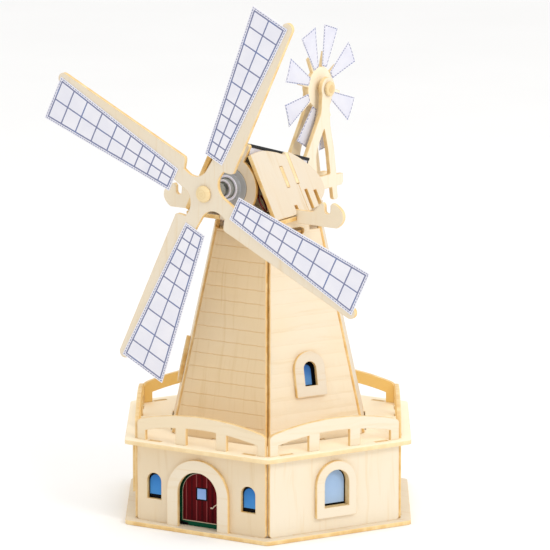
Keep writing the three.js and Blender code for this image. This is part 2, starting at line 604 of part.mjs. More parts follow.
function sailCross() {
  const outline = [];
  for (let k = 0; k < 4; k += 1) {
    const tipArc = arc(SAIL.tip - SAIL.tipRound, SAIL.tipMiddle, SAIL.tipRound, -90, 90, 8);
    outline.push(
      onArm(k, SAIL.rootRadius - 1.8, SAIL.rootRight),
      onArm(k, SAIL.rootRadius, SAIL.edge + 1.6), onArm(k, SAIL.rootRadius + 1.6, SAIL.edge),
      ...tipArc.map(([radial, left]) => onArm(k, radial, left)),
      onArm(k, SAIL.rootRadius, SAIL.farRoot),
    );
    const middle = radians(SAIL.phase + 90 * k + 45);
    outline.push(...arcThrough(
      onArm(k, SAIL.neck, SAIL.neckLeft),
      [SAIL.hubArc * Math.cos(middle), SAIL.hubArc * Math.sin(middle)],
      onArm(k + 1, SAIL.neck, SAIL.neckRight), 12,
    ));
  }
  return outline;
}

// a plate of the sail wheel, its back face at y = back
function onSailPlane(outline, back, thickness, holes = []) {
  return place(slab(outline, thickness, holes), [0, back, SHAFT_Z], [1, 0, 0], [0, 0, 1]);
}

const crossHole = circle(0, 0, SHAFT_RADIUS + 0.15, 24);
add('sail_cross', onSailPlane(sailCross(), SAIL.back, PLY, [crossHole]), plywood, capGroup);
for (let k = 0; k < 4; k += 1) {
  const sheet = [
    onArm(k, SHEET.root, SHEET.rootRight), onArm(k, SHEET.tip[k], SHEET.tipRight),
    onArm(k, SHEET.tip[k], SHEET.tipLeft[k]), onArm(k, SHEET.root, SHEET.rootLeft[k]),
  ];
  add(`sail_sheet_${k + 1}`, onSailPlane(sheet, SAIL.back - PLY - SEAT, CARD), sailCard, capGroup);
}

// turned shaft: a steel pin in the motor, a dowel through the cross and a domed head in front
const shaftStart = -51.0;
const along = (y) => shaftStart - y;
const crossFront = SAIL.back - PLY;
add('sail_shaft', turned([
  [0, 0], [1.2, 0], [1.2, along(-61.0)], [5.2, along(-61.0)], [5.2, along(SAIL.back + 0.15)],
  [SHAFT_RADIUS, along(SAIL.back + 0.15)], [SHAFT_RADIUS, along(crossFront - 0.15)],
  [5.4, along(crossFront - 0.15)], [5.4, along(crossFront - 1.5)], [4.8, along(crossFront - 2.4)],
  [3.4, along(crossFront - 3.2)], [1.6, along(crossFront - 3.6)], [0, along(crossFront - 3.7)],
], 24, [0, shaftStart, SHAFT_Z], [0, -1, 0]), dowel, capGroup);

// ---------------------------------------------------------------- fantail

// a plate standing along the cap, its left face at x = left; drawn as (distance to the rear, height)
function lengthways(outline, left, thickness, holes = []) {
  return place(slab(outline, thickness, holes), [left, 0, 0], [0, 1, 0], [0, 0, 1]);
}

const fanFrame = [
  [17.0, CAP_FLOOR_TOP + 0.1], [38.6, CAP_FLOOR_TOP + 0.1], [42.0, 224.1], [69.6, 224.1], [71.2, 215.4],
  [72.4, 214.4], [75.8, 214.4], [77.0, 215.6], [75.6, 224.1], [82.0, 224.1], [83.8, 226.1], [83.8, 232.3],
  [75.2, 232.9], [71.8, 252.0], [67.0, 270.0], [65.8, 283.0], [68.6, 289.4],
  ...arc(FAN.y, FAN.z, 8.4, -55, 205, 14),
  [55.6, 284.0], [54.0, 278.8], [36.4, 252.4], [17.0, 238.0],
];
const fanWindow = rounded([
  [67.4, 234.0], [64.4, 252.0], [59.3, 269.4], [50.6, 256.0], [48.6, 250.4], [50.4, 234.0],
], 1.4, 3);
const axleHole = circle(FAN.y, FAN.z, SHAFT_RADIUS + 0.1, 24);
[['right', FAN_FRAME_INNER], ['left', -FAN_FRAME_INNER - PLY]].forEach(([side, left]) => {
  add(`fan_frame_${side}`, lengthways(fanFrame, left, PLY, [fanWindow, axleHole]), plywood, capGroup);
});

// (distance from the axle, distance clockwise) at an angle from upright towards the rear
function onFan(degrees, radial, clockwise) {
  const [c, s] = [Math.cos(radians(degrees)), Math.sin(radians(degrees))];
  return [FAN.y + radial * s + clockwise * c, FAN.z + radial * c - clockwise * s];
}

function fanWheel() {
  const outline = [];
  const halfAngle = THREE.MathUtils.radToDeg(Math.asin(FAN.spokeHalf / FAN.hub));
  for (let k = 7; k >= 0; k -= 1) {
    const angle = FAN.phase + 45 * k;
    outline.push(
      onFan(angle, FAN.spokeTip, FAN.spokeHalf - 0.6), onFan(angle, FAN.spokeTip, 0.6 - FAN.spokeHalf),
      ...[0, 1, 2, 3].map((i) => onFan(angle - halfAngle - (i * (45 - 2 * halfAngle)) / 3, FAN.hub, 0)),
    );
  }
  return outline;
}

const wheelHole = circle(FAN.y, FAN.z, SHAFT_RADIUS + 0.15, 24);
add('fan_wheel', lengthways(fanWheel(), -PLY / 2, PLY, [wheelHole]), plywood, capGroup);
BLADE_LEADS.forEach((lead, k) => {
  const angle = FAN.phase + 45 * k + lead;
  const blade = [
    onFan(angle, FAN.bladeRoot, -FAN.bladeRootHalf), onFan(angle, FAN.bladeTip, -FAN.bladeTipHalf),
    onFan(angle, FAN.bladeTip, FAN.bladeTipHalf), onFan(angle, FAN.bladeRoot, FAN.bladeRootHalf),
  ];
  add(`fan_blade_${k + 1}`, lengthways(blade, PLY / 2 + SEAT, CARD), sailCard, capGroup);
});
add('fan_axle', turned([
  [0, 0], [SHAFT_RADIUS - 0.6, 0], [SHAFT_RADIUS, 0.6], [SHAFT_RADIUS, 21.4], [5.4, 21.4], [5.4, 23.6],
  [SHAFT_RADIUS, 23.6], [SHAFT_RADIUS, 24.2], [0, 24.2],
], 24, [-12.4, FAN.y, FAN.z], [1, 0, 0]), dowel, capGroup);

group.add(capGroup);
export default group;
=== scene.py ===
"""Looks of the wooden windmill jigsaw model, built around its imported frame.

Every shape is drawn in millimetres in the row frame (+Z up, the door and the sails face -Y)
and turned into metres when its mesh is made.
"""
import json
import math
import random

import bmesh
import bpy
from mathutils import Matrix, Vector
from mathutils.geometry import tessellate_polygon


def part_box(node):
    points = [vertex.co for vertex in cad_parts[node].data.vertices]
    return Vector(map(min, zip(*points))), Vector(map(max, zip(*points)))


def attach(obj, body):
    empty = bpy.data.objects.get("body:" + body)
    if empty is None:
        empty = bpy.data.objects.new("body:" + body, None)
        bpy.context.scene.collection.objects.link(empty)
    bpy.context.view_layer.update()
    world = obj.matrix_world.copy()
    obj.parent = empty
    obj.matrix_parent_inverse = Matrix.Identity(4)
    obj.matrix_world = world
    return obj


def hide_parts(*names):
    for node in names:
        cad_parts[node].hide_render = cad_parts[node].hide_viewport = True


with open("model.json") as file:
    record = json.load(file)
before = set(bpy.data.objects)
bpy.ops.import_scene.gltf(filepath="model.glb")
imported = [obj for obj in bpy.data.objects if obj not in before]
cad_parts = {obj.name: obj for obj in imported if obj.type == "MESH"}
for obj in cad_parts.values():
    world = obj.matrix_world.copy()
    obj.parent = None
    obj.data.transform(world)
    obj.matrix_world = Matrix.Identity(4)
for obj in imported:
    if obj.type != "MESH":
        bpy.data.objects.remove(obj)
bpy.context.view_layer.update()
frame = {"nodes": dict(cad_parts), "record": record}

MM = 0.001
BODY_OF = {node: body for body, nodes in frame["record"]["behaviour"]["bodies"].items() for node in nodes}
SLOT_OF = {row["node"]: row["material_slot"] for row in frame["record"]["subparts"]}
UP = Vector((0.0, 0.0, 1.0))

CAP_YAW = math.radians(-4.1)
CAP_X = Vector((math.cos(CAP_YAW), math.sin(CAP_YAW), 0.0))
CAP_Y = Vector((-math.sin(CAP_YAW), math.cos(CAP_YAW), 0.0))
SHAFT_Z = 242.0
FAN_Y = 64.0
FAN_Z = 297.6
CAP_FLOOR_Z = 217.4

HOUSE_APOTHEM = 95.0
PRINT_GAP = 0.2  # between a wall and the printed card behind it
PLY = 3.0
RIM = 0.12  # rounding of a cut edge
SCORCH = 0.75  # width of the scorched line beside a cut edge
COURSE_FIRST = 11.6  # first scored line above the foot of a tower wall, along the slope
COURSE_PITCH = 9.76
COURSE_HALF = 0.45
COURSE_STEP = 1.95  # between the upright cuts that let a course line wave
SHEET_STOPS = (0.081, 0.169, 0.276, 0.383, 0.505, 0.638, 0.771, 0.891)
SHEET_INSET = 2.5  # printed frame of a sail sheet, from its edge

# The lead's route through the cap in millimetres, from the motor's back, and its diameter in metres.
LEAD_ROUTE = (
    (5.0, -25.4, 238.0), (7.0, -24.0, 235.4), (9.0, -23.2, 233.0), (12.0, -23.9, 230.0),
    (15.0, -26.0, 227.6), (17.9, -29.1, 225.8), (20.4, -32.6, 224.9), (22.4, -35.7, 224.7),
    (23.6, -38.2, 225.4), (23.9, -40.2, 226.9), (23.4, -41.6, 228.6), (21.8, -41.8, 231.4),
    (19.8, -41.4, 234.6), (18.4, -39.9, 238.6), (17.6, -38.4, 243.0), (16.3, -37.2, 248.6),
    (14.6, -36.6, 254.0), (12.2, -36.8, 258.8), (9.6, -37.2, 263.0), (7.4, -37.4, 268.0),
)
LEAD_DIAMETER = 0.0012

# Sheets whose grain runs up and down, by the start of their names.
UPRIGHT_GRAIN = (
    "sail_cross", "motor_plate", "hooked_beam", "roof_rib", "house_wall", "roof_board", "fan_frame",
)

# How yellow and how pale each sheet of veneer is, and how golden its inner side is, by the start of its name.
# Beside veneer that differs from sheet to sheet, the warmer front-facing sheets hold painted shade, and the
# paler slanting front side sheets (whose names run on past front_) hold a painted wash of the key light. The
# golden inner side is a painted warm glow of bounced light in shade.
VENEER_AND_SHADE_WARMTH = {
    "tower_wall_front_": 0.5, "tower_wall_front": 0.95, "house_wall_front_": 0.2, "house_wall_front": 0.6,
    "door_arch": 0.3, "sail_cross": 0.2, "gallery_deck": 0.75, "railing_front_": 0.2, "railing_front": 0.75,
}
# Paleness; on the slanting front side sheets it is partly a painted wash of the key light.
VENEER_AND_LIGHT_PALENESS = {
    "sail_cross": 0.25, "door_arch": 0.3, "house_wall_front_": 0.35, "house_wall_front": 0.15,
    "tower_wall_front_": 0.25,
    "gallery_deck": 0.95, "railing": 0.38, "hooked_beam": 0.6, "fan_wheel": 0.75, "base_plate": 0.25,
    "house_window_frame": 0.3, "fan_frame": 0.5, "roof_rib": 1.0,
}
# Strength of the painted warm glow of bounced light on the shaded inner side of each sheet, by the start of
# its name.
PAINTED_BACK_GLOW = {
    "railing": 0.9, "roof_board": 0.9, "tower_wall": 0.9, "house_wall": 0.9, "cap_floor": 0.9,
    "hooked_beam": 0.4, "motor_plate": 0.9, "roof_rib": 0.9,
}


# ---------------------------------------------------------------- camera, light and floor


def turned_to(obj, direction):
    obj.rotation_mode = "QUATERNION"
    obj.rotation_quaternion = direction.to_track_quat("-Z", "Y")


def make_camera():
    azimuth, elevation, distance = math.radians(30.31), math.radians(12.03), 3.262
    back = Vector((
        math.sin(azimuth) * math.cos(elevation),
        -math.cos(azimuth) * math.cos(elevation),
        math.sin(elevation),
    ))
    right = Vector((math.cos(azimuth), math.sin(azimuth), 0.0))
    data = bpy.data.cameras.new("camera")
    data.sensor_width = 36.0
    data.lens = 296.44
    data.clip_end = 50.0
    camera = bpy.data.objects.new("camera", data)
    camera.location = right * 0.00462 + Vector((0.0, 0.0, 0.1697)) + back * distance
    turned_to(camera, -back)
    bpy.context.scene.collection.objects.link(camera)
    bpy.context.scene.camera = camera


def area_light(name, place, target, size, power, colour):
    data = bpy.data.lights.new(name, "AREA")
    data.shape = "DISK"
    data.size = size
    data.energy = power
    data.color = colour
    light = bpy.data.objects.new(name, data)
    light.location = place
    turned_to(light, Vector(target) - Vector(place))
    bpy.context.scene.collection.objects.link(light)


def make_studio():
    scene = bpy.context.scene
    scene.view_settings.view_transform = "Standard"
    world = bpy.data.worlds.new("studio")
    world.use_nodes = True
    background = world.node_tree.nodes["Background"]
    background.inputs["Color"].default_value = (1.0, 0.995, 0.985, 1.0)
    background.inputs["Strength"].default_value = 0.97
    scene.world = world
    middle = (0.0, 0.0, 0.18)
    area_light("key", (1.5, -0.45, 1.15), middle, 0.6, 9.0, (1.0, 0.99, 0.97))
    area_light("top", (0.1, 0.2, 1.9), middle, 1.0, 5.0, (1.0, 1.0, 1.0))
    bm = bmesh.new()
    bmesh.ops.create_circle(bm, cap_ends=True, radius=6.0, segments=96)
    mesh = bpy.data.meshes.new("floor")
    bm.to_mesh(mesh)
    bm.free()
    floor = bpy.data.objects.new("floor", mesh)
    floor.location.z = -0.0002
    scene.collection.objects.link(floor)
    shader = Shader("pale_floor", 0.9)
    grain = shader.noise(shader.object_coordinates(), 6.0, 2.0)
    shader.colour(shader.mix(grain, srgb(252, 252, 252), srgb(248, 248, 248)))
    mesh.materials.append(shader.material)


# ---------------------------------------------------------------- node materials


def srgb(red, green, blue):
    """A colour picked in display values, as the linear values that a shader takes."""
    def linear(value):
        value /= 255.0
        return value / 12.92 if value <= 0.04045 else ((value + 0.055) / 1.055) ** 2.4
    return (linear(red), linear(green), linear(blue), 1.0)


class Shader:
    """One node material, built step by step."""

    def __init__(self, name, roughness):
        self.material = bpy.data.materials.new(name)
        self.material.use_nodes = True
        self.nodes = self.material.node_tree.nodes
        self.links = self.material.node_tree.links
        self.surface = self.nodes["Principled BSDF"]
        self.surface.inputs["Roughness"].default_value = roughness

    def put(self, socket, value):
        if isinstance(value, bpy.types.NodeSocket):
            self.links.new(value, socket)
        else:
            socket.default_value = value

    def node(self, kind, **settings):
        made = self.nodes.new(kind)
        for key, value in settings.items():
            setattr(made, key, value)
        return made

    def math(self, operation, first, second=0.0, third=0.0):
        made = self.node("ShaderNodeMath", operation=operation)
        for socket, value in zip(made.inputs, (first, second, third)):
            self.put(socket, value)
        return made.outputs[0]

    def times(self, first, second):
        return self.math("MULTIPLY", first, second)

    def plus(self, first, second):
        return self.math("ADD", first, second)

    def minus(self, first, second):
        return self.math("SUBTRACT", first, second)

    def largest(self, values):
        total = values[0]
        for value in values[1:]:
            total = self.math("MAXIMUM", total, value)
        return total

    def between(self, value, low, high):
        """1 where value lies between low and high, else 0."""
        above = self.math("GREATER_THAN", value, low)
        return self.times(above, self.math("LESS_THAN", value, high))

    def smooth(self, value, low, high):
        made = self.node("ShaderNodeMapRange", interpolation_type="SMOOTHSTEP")
        for socket, number in zip(made.inputs, (value, low, high, 0.0, 1.0)):
            self.put(socket, number)
        return made.outputs[0]

    def mix(self, factor, first, second, blend="MIX"):
        made = self.node("ShaderNodeMix", data_type="RGBA", blend_type=blend)
        self.put(made.inputs[0], factor)
        self.put(made.inputs[6], first)
        self.put(made.inputs[7], second)
        return made.outputs[2]

    def attribute(self, name):
        return self.node("ShaderNodeAttribute", attribute_name=name).outputs["Vector"]

    def object_coordinates(self):
        return self.node("ShaderNodeTexCoord").outputs["Object"]

    def split(self, vector):
        made = self.node("ShaderNodeSeparateXYZ")
        self.put(made.inputs[0], vector)
        return made.outputs[0], made.outputs[1], made.outputs[2]

    def join(self, x, y, z):
        made = self.node("ShaderNodeCombineXYZ")
        for socket, value in zip(made.inputs, (x, y, z)):
            self.put(socket, value)
        return made.outputs[0]

    def stretch(self, vector, scale):
        made = self.node("ShaderNodeVectorMath", operation="MULTIPLY")
        self.put(made.inputs[0], vector)
        made.inputs[1].default_value = scale
        return made.outputs[0]

    def noise(self, vector, scale, detail, distortion=0.0):
        made = self.node("ShaderNodeTexNoise")
        self.put(made.inputs["Vector"], vector)
        made.inputs["Scale"].default_value = scale
        made.inputs["Detail"].default_value = detail
        made.inputs["Distortion"].default_value = distortion
        return made.outputs["Fac"]

    def ramp(self, value, stops):
        made = self.node("ShaderNodeValToRGB")
        elements = made.color_ramp.elements
        while len(elements) < len(stops):
            elements.new(0.5)
        for element, (place, colour) in zip(elements, stops):
            element.position = place
            element.color = colour
        self.put(made.inputs[0], value)
        return made.outputs[0]

    def colour(self, value):
        self.put(self.surface.inputs["Base Color"], value)

    def roughness(self, value):
        self.put(self.surface.inputs["Roughness"], value)

    def bump(self, height, distance):
        made = self.node("ShaderNodeBump")
        made.inputs["Distance"].default_value = distance * MM
        made.inputs["Strength"].default_value = 1.0
        self.put(made.inputs["Height"], height)
        self.links.new(made.outputs[0], self.surface.inputs["Normal"])


def wood_grain(shader, along, across, number):
    """(broad patches, growth streaks, fine fibres), each 0 to 1, for a veneer at those millimetres."""
    shift = shader.times(number, 71.3)
    broad = shader.noise(shader.join(shader.plus(along, shift), across, shift), 0.022, 2.0)
    drift = shader.times(shader.minus(broad, 0.5), 9.0)
    wavy = shader.plus(across, drift)
    streak_at = shader.join(shader.times(along, 0.018), shader.times(wavy, 0.30), shift)
    streaks = shader.noise(streak_at, 1.0, 5.0, 0.4)
    fibre_at = shader.join(shader.times(along, 0.13), shader.times(wavy, 2.3), shift)
    return broad, streaks, shader.noise(fibre_at, 1.0, 3.0)


def plywood_material():
    """Bare birch veneer with laser-cut edges.

    The attributes are wood = (along the grain, across it, depth), marks = (edge, scorch,
    groove_and_back_glow), where groove_and_back_glow above 0 is a scored groove and below 0 a painted warm
    glow of bounced light on the shaded inner side of a sheet, and veneer = (warmth, tone, number), whose
    warmth and tone partly hold painted shade and a painted wash of the key light.
    """
    shader = Shader("laser_cut_plywood", 0.62)
    along, across, depth = shader.split(shader.attribute("wood"))
    edge, scorch, groove_and_back_glow = shader.split(shader.attribute("marks"))
    warmth, tone, number = shader.split(shader.attribute("veneer"))
    broad, streaks, fibres = wood_grain(shader, along, across, number)
    # Warmer veneer; on the front-facing sheets this warmth is partly painted shade.
    warm = shader.plus(warmth, shader.times(shader.minus(broad, 0.5), 0.9))
    face = shader.mix(shader.smooth(warm, 0.0, 1.0), srgb(219, 206, 186), srgb(220, 196, 157))
    dark_streak = shader.times(shader.smooth(streaks, 0.52, 0.78), 0.6)
    face = shader.mix(dark_streak, face, srgb(208, 180, 134))
    face = shader.mix(shader.smooth(streaks, 0.30, 0.10), face, srgb(228, 214, 190))
    flecks = shader.times(shader.smooth(fibres, 0.60, 0.85), 0.22)
    face = shader.mix(flecks, face, srgb(196, 166, 116))
    # Paler veneer; on the slanting side sheets this paleness is partly a painted wash of the key light.
    face = shader.mix(tone, face, srgb(252, 240, 214))
    face = shader.mix(groove_and_back_glow, face, srgb(206, 166, 106))
    # Painted warm glow of bounced light on the shaded inner sides, where the third mark is below 0.
    face = shader.mix(shader.times(groove_and_back_glow, -1.0), face, srgb(252, 212, 122))
    uneven = shader.noise(shader.join(along, across, depth), 0.12, 2.0)
    burnt = shader.times(scorch, shader.smooth(uneven, 0.1, 0.9))
    burnt = shader.times(shader.math("POWER", burnt, 1.5), 0.6)
    face = shader.mix(burnt, face, srgb(210, 166, 98))
    dark = srgb(202, 154, 84)
    plies = shader.ramp(shader.math("DIVIDE", depth, PLY), (
        (0.0, srgb(234, 200, 134)), (0.30, srgb(230, 192, 122)), (0.335, dark), (0.37, srgb(222, 180, 108)),
        (0.63, srgb(220, 176, 102)), (0.665, dark), (0.70, srgb(224, 182, 106)), (1.0, srgb(220, 170, 90)),
    ))
    char = shader.noise(shader.join(along, across, shader.times(depth, 0.12)), 0.11, 3.0)
    cut = shader.mix(shader.smooth(char, 0.35, 0.75), plies, srgb(240, 212, 156))
    cut = shader.mix(shader.times(shader.smooth(char, 0.45, 0.15), 0.3), cut, srgb(186, 134, 68))
    # Cut edges take the same paleness, with the same painted key light on the slanting side sheets.
    cut = shader.mix(shader.times(tone, 0.6), cut, srgb(240, 222, 184))
    shader.colour(shader.mix(edge, face, cut))
    shader.roughness(shader.plus(shader.times(fibres, 0.25), 0.48))
    relief = shader.plus(fibres, shader.times(streaks, 0.6))
    shader.bump(relief, 0.035)
    return shader.material


def dowel_material():
    """Turned wood: the wood attribute runs along the axis, round it and out from it."""
    shader = Shader("turned_dowel", 0.5)
    along, around, out = shader.split(shader.attribute("wood"))
    _, rim, _ = shader.split(shader.attribute("marks"))
    _, _, number = shader.split(shader.attribute("veneer"))
    broad, streaks, fibres = wood_grain(shader, along, around, number)
    tone = shader.mix(broad, srgb(238, 216, 170), srgb(230, 206, 156))
    dark_streak = shader.times(shader.smooth(streaks, 0.50, 0.75), 0.6)
    tone = shader.mix(dark_streak, tone, srgb(214, 180, 120))
    rings = shader.noise(shader.join(out, number, 0.0), 1.1, 2.0)
    tone = shader.mix(shader.times(shader.smooth(rings, 0.5, 0.7), 0.3), tone, srgb(204, 166, 106))
    tone = shader.mix(shader.times(rim, 0.6), tone, srgb(196, 152, 88))
    shader.colour(tone)
    shader.roughness(shader.plus(shader.times(fibres, 0.2), 0.40))
    shader.bump(fibres, 0.03)
    return shader.material


def card_base(shader, vector, pale, shade):
    """The paper of a card: soft clouds, fine fibres and a slight tooth."""
    cloud = shader.noise(vector, 0.05, 2.0)
    fibre = shader.noise(shader.stretch(vector, (1.0, 2.2, 1.0)), 2.4, 3.0)
    shader.bump(fibre, 0.012)
    shader.roughness(shader.plus(shader.times(fibre, 0.15), 0.45))
    return shader.mix(shader.smooth(cloud, 0.3, 0.7), pale, shade), fibre


def ink(shader, cloud_at):
    """Printer's blue-grey, a little bluer and thinner in places."""
    patch = shader.noise(cloud_at, 0.06, 1.0)
    return shader.mix(shader.smooth(patch, 0.45, 0.75), srgb(96, 103, 142), srgb(78, 104, 160))


def sheet_material():
    """Sail sheet: sides = distances from its right and left edge and its middle line,
    ends = distances from its root and tip and the fraction of the way out."""
    shader = Shader("printed_sail_card", 0.5)
    right, left, middle = shader.split(shader.attribute("sides"))
    root, tip, fraction = shader.split(shader.attribute("ends"))
    flat = shader.join(root, right, 0.0)
    paper, fibre = card_base(shader, flat, srgb(232, 231, 238), srgb(224, 224, 234))
    rim = shader.math("MINIMUM", shader.math("MINIMUM", right, left), shader.math("MINIMUM", root, tip))
    wobble = shader.times(shader.minus(shader.noise(flat, 0.25, 2.0), 0.5), 0.30)
    rim = shader.plus(rim, wobble)
    border = shader.between(rim, SHEET_INSET - 0.55, SHEET_INSET + 0.55)
    inside = shader.math("GREATER_THAN", rim, SHEET_INSET)
    bars = [shader.between(shader.plus(middle, wobble), -0.5, 0.5)]
    wobbly_fraction = shader.plus(fraction, shader.times(wobble, 0.009))
    for stop in SHEET_STOPS:
        bars.append(shader.math("COMPARE", wobbly_fraction, stop, 0.0047))
    grid = shader.times(shader.largest(bars), inside)
    place = shader.math("FRACT", shader.math("DIVIDE", shader.plus(root, right), 2.4))
    dash = shader.math("GREATER_THAN", place, 0.3)
    stitched = shader.times(shader.between(rim, 0.72, 1.32), dash)
    drawn = shader.largest([border, grid, stitched])
    drawn = shader.times(drawn, shader.smooth(fibre, 0.05, 0.35))
    shader.colour(shader.mix(shader.times(drawn, 0.92), paper, ink(shader, flat)))
    return shader.material


def blade_material():
    """Fantail card with a stitched outline along its edges."""
    shader = Shader("printed_blade_card", 0.5)
    right, left, _ = shader.split(shader.attribute("sides"))
    root, tip, _ = shader.split(shader.attribute("ends"))
    flat = shader.join(root, right, 0.0)
    paper, fibre = card_base(shader, flat, srgb(220, 220, 229), srgb(211, 211, 225))
    rim = shader.math("MINIMUM", shader.math("MINIMUM", right, left), shader.math("MINIMUM", root, tip))
    place = shader.math("FRACT", shader.math("DIVIDE", shader.plus(root, right), 3.0))
    dash = shader.math("GREATER_THAN", place, 0.35)
    stitched = shader.times(shader.between(rim, 0.12, 0.9), dash)
    shader.colour(shader.mix(shader.times(stitched, 0.85), paper, ink(shader, flat)))
    return shader.material


def plain_card_material(name, pale, shade):
    shader = Shader(name, 0.5)
    paper, _ = card_base(shader, shader.stretch(shader.object_coordinates(), (1000.0,) * 3), pale, shade)
    shader.colour(paper)
    return shader.material


def print_material(name, top, bottom, low, high, gloss=0.42):
    """Colour-printed card whose tone runs from bottom to top between the heights low and high (mm)."""
    shader = Shader(name, gloss)
    shader.surface.inputs["Specular IOR Level"].default_value = 0.05
    flat = shader.stretch(shader.object_coordinates(), (1000.0,) * 3)
    _, _, height = shader.split(flat)
    dots = shader.noise(flat, 3.2, 2.0)
    cloud = shader.noise(flat, 0.18, 3.0)
    patch = shader.times(shader.minus(cloud, 0.5), 0.5)
    slope = shader.plus(shader.smooth(height, low, high), patch)
    tone = shader.mix(slope, bottom, top)
    shader.colour(shader.mix(shader.times(dots, 0.16), tone, srgb(20, 20, 26)))
    shader.bump(dots, 0.008)
    return shader.material


def metal_material():
    """Satin turned steel of the motor can, with fine tool marks round the axis. Its marks paint the light:
    pale lavender painted highlight rings at 0, the can's own satin grey near 0.4, and painted shade in the
    groove and the bore near 0.9.
    """
    shader = Shader("satin_motor_metal", 0.4)
    along, around, out = shader.split(shader.attribute("wood"))
    _, sheen_and_shade, _ = shader.split(shader.attribute("marks"))
    stretched = shader.stretch(shader.join(along, around, out), (6.0, 0.05, 6.0))
    lathe = shader.noise(stretched, 1.0, 3.0)
    sheen_variation = shader.noise(shader.join(along, around, out), 0.25, 3.0)
    # Pale lavender, patchy: the painted highlight on the rings.
    tone = shader.mix(sheen_variation, srgb(238, 236, 250), srgb(226, 226, 244))
    # The can's own satin grey.
    tone = shader.mix(shader.smooth(sheen_and_shade, 0.0, 0.4), tone, srgb(168, 170, 173))
    # Darker greenish grey: painted shade in the groove, on the boss side and in the bore.
    tone = shader.mix(shader.smooth(sheen_and_shade, 0.45, 0.9), tone, srgb(148, 150, 144))
    shader.colour(tone)
    shader.surface.inputs["Metallic"].default_value = 0.4
    shader.roughness(shader.plus(shader.times(lathe, 0.22), 0.30))
    shader.bump(lathe, 0.02)
    return shader.material


def solar_material():
    """Resin-covered cell: wood = (along the slope, across, depth), with fine silver fingers and dark gaps."""
    shader = Shader("solar_cell_face", 0.16)
    along, across, depth = shader.split(shader.attribute("wood"))
    top = shader.math("LESS_THAN", depth, 0.05)
    crystal = shader.noise(shader.join(along, across, 0.0), 0.35, 4.0, 1.5)
    cell = shader.mix(crystal, srgb(16, 22, 44), srgb(30, 40, 74))
    finger = shader.math("LESS_THAN", shader.math("FRACT", shader.math("DIVIDE", across, 2.1)), 0.10)
    gap = shader.math("LESS_THAN", shader.math("FRACT", shader.math("DIVIDE", along, 12.4)), 0.06)
    cell = shader.mix(shader.times(finger, 0.55), cell, srgb(150, 160, 176))
    cell = shader.mix(gap, cell, srgb(10, 11, 14))
    _, _, cells = shader.split(shader.attribute("marks"))
    framed = shader.mix(shader.times(top, cells), srgb(14, 15, 18), cell)
    speck = shader.noise(shader.join(along, across, depth), 2.0, 2.0)
    shader.surface.inputs["Specular IOR Level"].default_value = 0.2
    shader.colour(shader.mix(shader.times(speck, 0.05), framed, srgb(70, 84, 100)))
    shader.roughness(shader.plus(shader.times(speck, 0.25), 0.12))
    shader.bump(speck, 0.006)
    return shader.material


def wire_material():
    shader = Shader("red_wire", 0.42)
    vector = shader.stretch(shader.object_coordinates(), (1000.0,) * 3)
    ripple = shader.noise(vector, 1.4, 3.0)
    shader.colour(shader.mix(ripple, srgb(132, 22, 20), srgb(98, 12, 14)))
    shader.roughness(shader.plus(shader.times(ripple, 0.2), 0.34))
    shader.bump(ripple, 0.02)
    return shader.material


# ---------------------------------------------------------------- making pieces


def make_piece(name, bm, materials, body, replaced=(), sharp=32.0):
    """Turns a bmesh in millimetres into a piece that rides on body."""
    bmesh.ops.scale(bm, vec=(MM, MM, MM), verts=bm.verts)
    mesh = bpy.data.meshes.new(name)
    bm.to_mesh(mesh)
    bm.free()
    for material in materials:
        mesh.materials.append(material)
    mesh.polygons.foreach_set("use_smooth", [True] * len(mesh.polygons))
    mesh.set_sharp_from_angle(angle=math.radians(sharp))
    piece = bpy.data.objects.new(name, mesh)
    bpy.context.scene.collection.objects.link(piece)
    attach(piece, body)
    if replaced:
        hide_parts(*replaced)
    return piece


class Flat:
    """The plane of a flat CAD sheet: its outer side, its level axis and its rising axis."""

    def __init__(self, node):
        self.solid = bmesh.new()
        self.solid.from_mesh(frame["nodes"][node].data)
        bmesh.ops.scale(self.solid, vec=(1 / MM,) * 3, verts=self.solid.verts)
        bmesh.ops.remove_doubles(self.solid, verts=self.solid.verts, dist=0.003)
        self.solid.normal_update()
        low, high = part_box(node)
        middle = (low + high) / 2 / MM
        outer = Vector((middle.x, middle.y, 0.0)) + Vector((2.0, -1.0, 3.0))
        areas = {}
        for face in self.solid.faces:
            key = tuple(round(value, 1) for value in face.normal)
            if face.normal.dot(outer) > 0.0:
                areas.setdefault(key, Vector((0.0, 0.0, 0.0)))
                areas[key] += face.normal * face.calc_area()
        self.out = max(areas.values(), key=lambda total: total.length).normalized()
        if abs(self.out.z) > 0.95:
            self.level = CAP_X if BODY_OF[node] != "tower" else Vector((1.0, 0.0, 0.0))
            self.level = (self.level - self.out * self.level.dot(self.out)).normalized()
        else:
            self.level = UP.cross(self.out).normalized()
        self.rise = self.out.cross(self.level)
        heights = [vert.co.dot(self.out) for vert in self.solid.verts]
        self.top = max(heights)
        self.thick = self.top - min(heights)

    def at(self, u, v, depth=0.0):
        return self.level * u + self.rise * v + self.out * (self.top - depth)

    def flat(self, point):
        return point.dot(self.level), point.dot(self.rise)

    def outlines(self):
        """The closed outlines of the outer face, with the wood on their left, holes included."""
        front = {
            face for face in self.solid.faces
            if face.normal.dot(self.out) > 0.999
            and abs(face.calc_center_median().dot(self.out) - self.top) < 0.03
        }
        following = {}
        for face in front:
            for corner in face.loops:
                beside = [other for other in corner.edge.link_faces if other is not face]
                if not beside or beside[0] not in front:
                    following[corner.vert] = corner.link_loop_next.vert
        outlines = []
        while following:
            start, vert = following.popitem()
            chain = [start]
            while vert is not start:
                chain.append(vert)
                vert = following.pop(vert)
            outlines.append([Vector(self.flat(v.co)) for v in chain])
        return outlines


def without_straight_points(points):
    """Drops the points that lie on a straight stretch."""
    kept = []
    for i, point in enumerate(points):
        before = point - points[i - 1]
        after = points[(i + 1) % len(points)] - point
        if before.length < 0.01:
            continue
        bend = abs(before.x * after.y - before.y * after.x) / (before.length * max(after.length, 1e-6))
        if bend > 0.004 or before.dot(after) < 0.0:
            kept.append(point)
    return kept


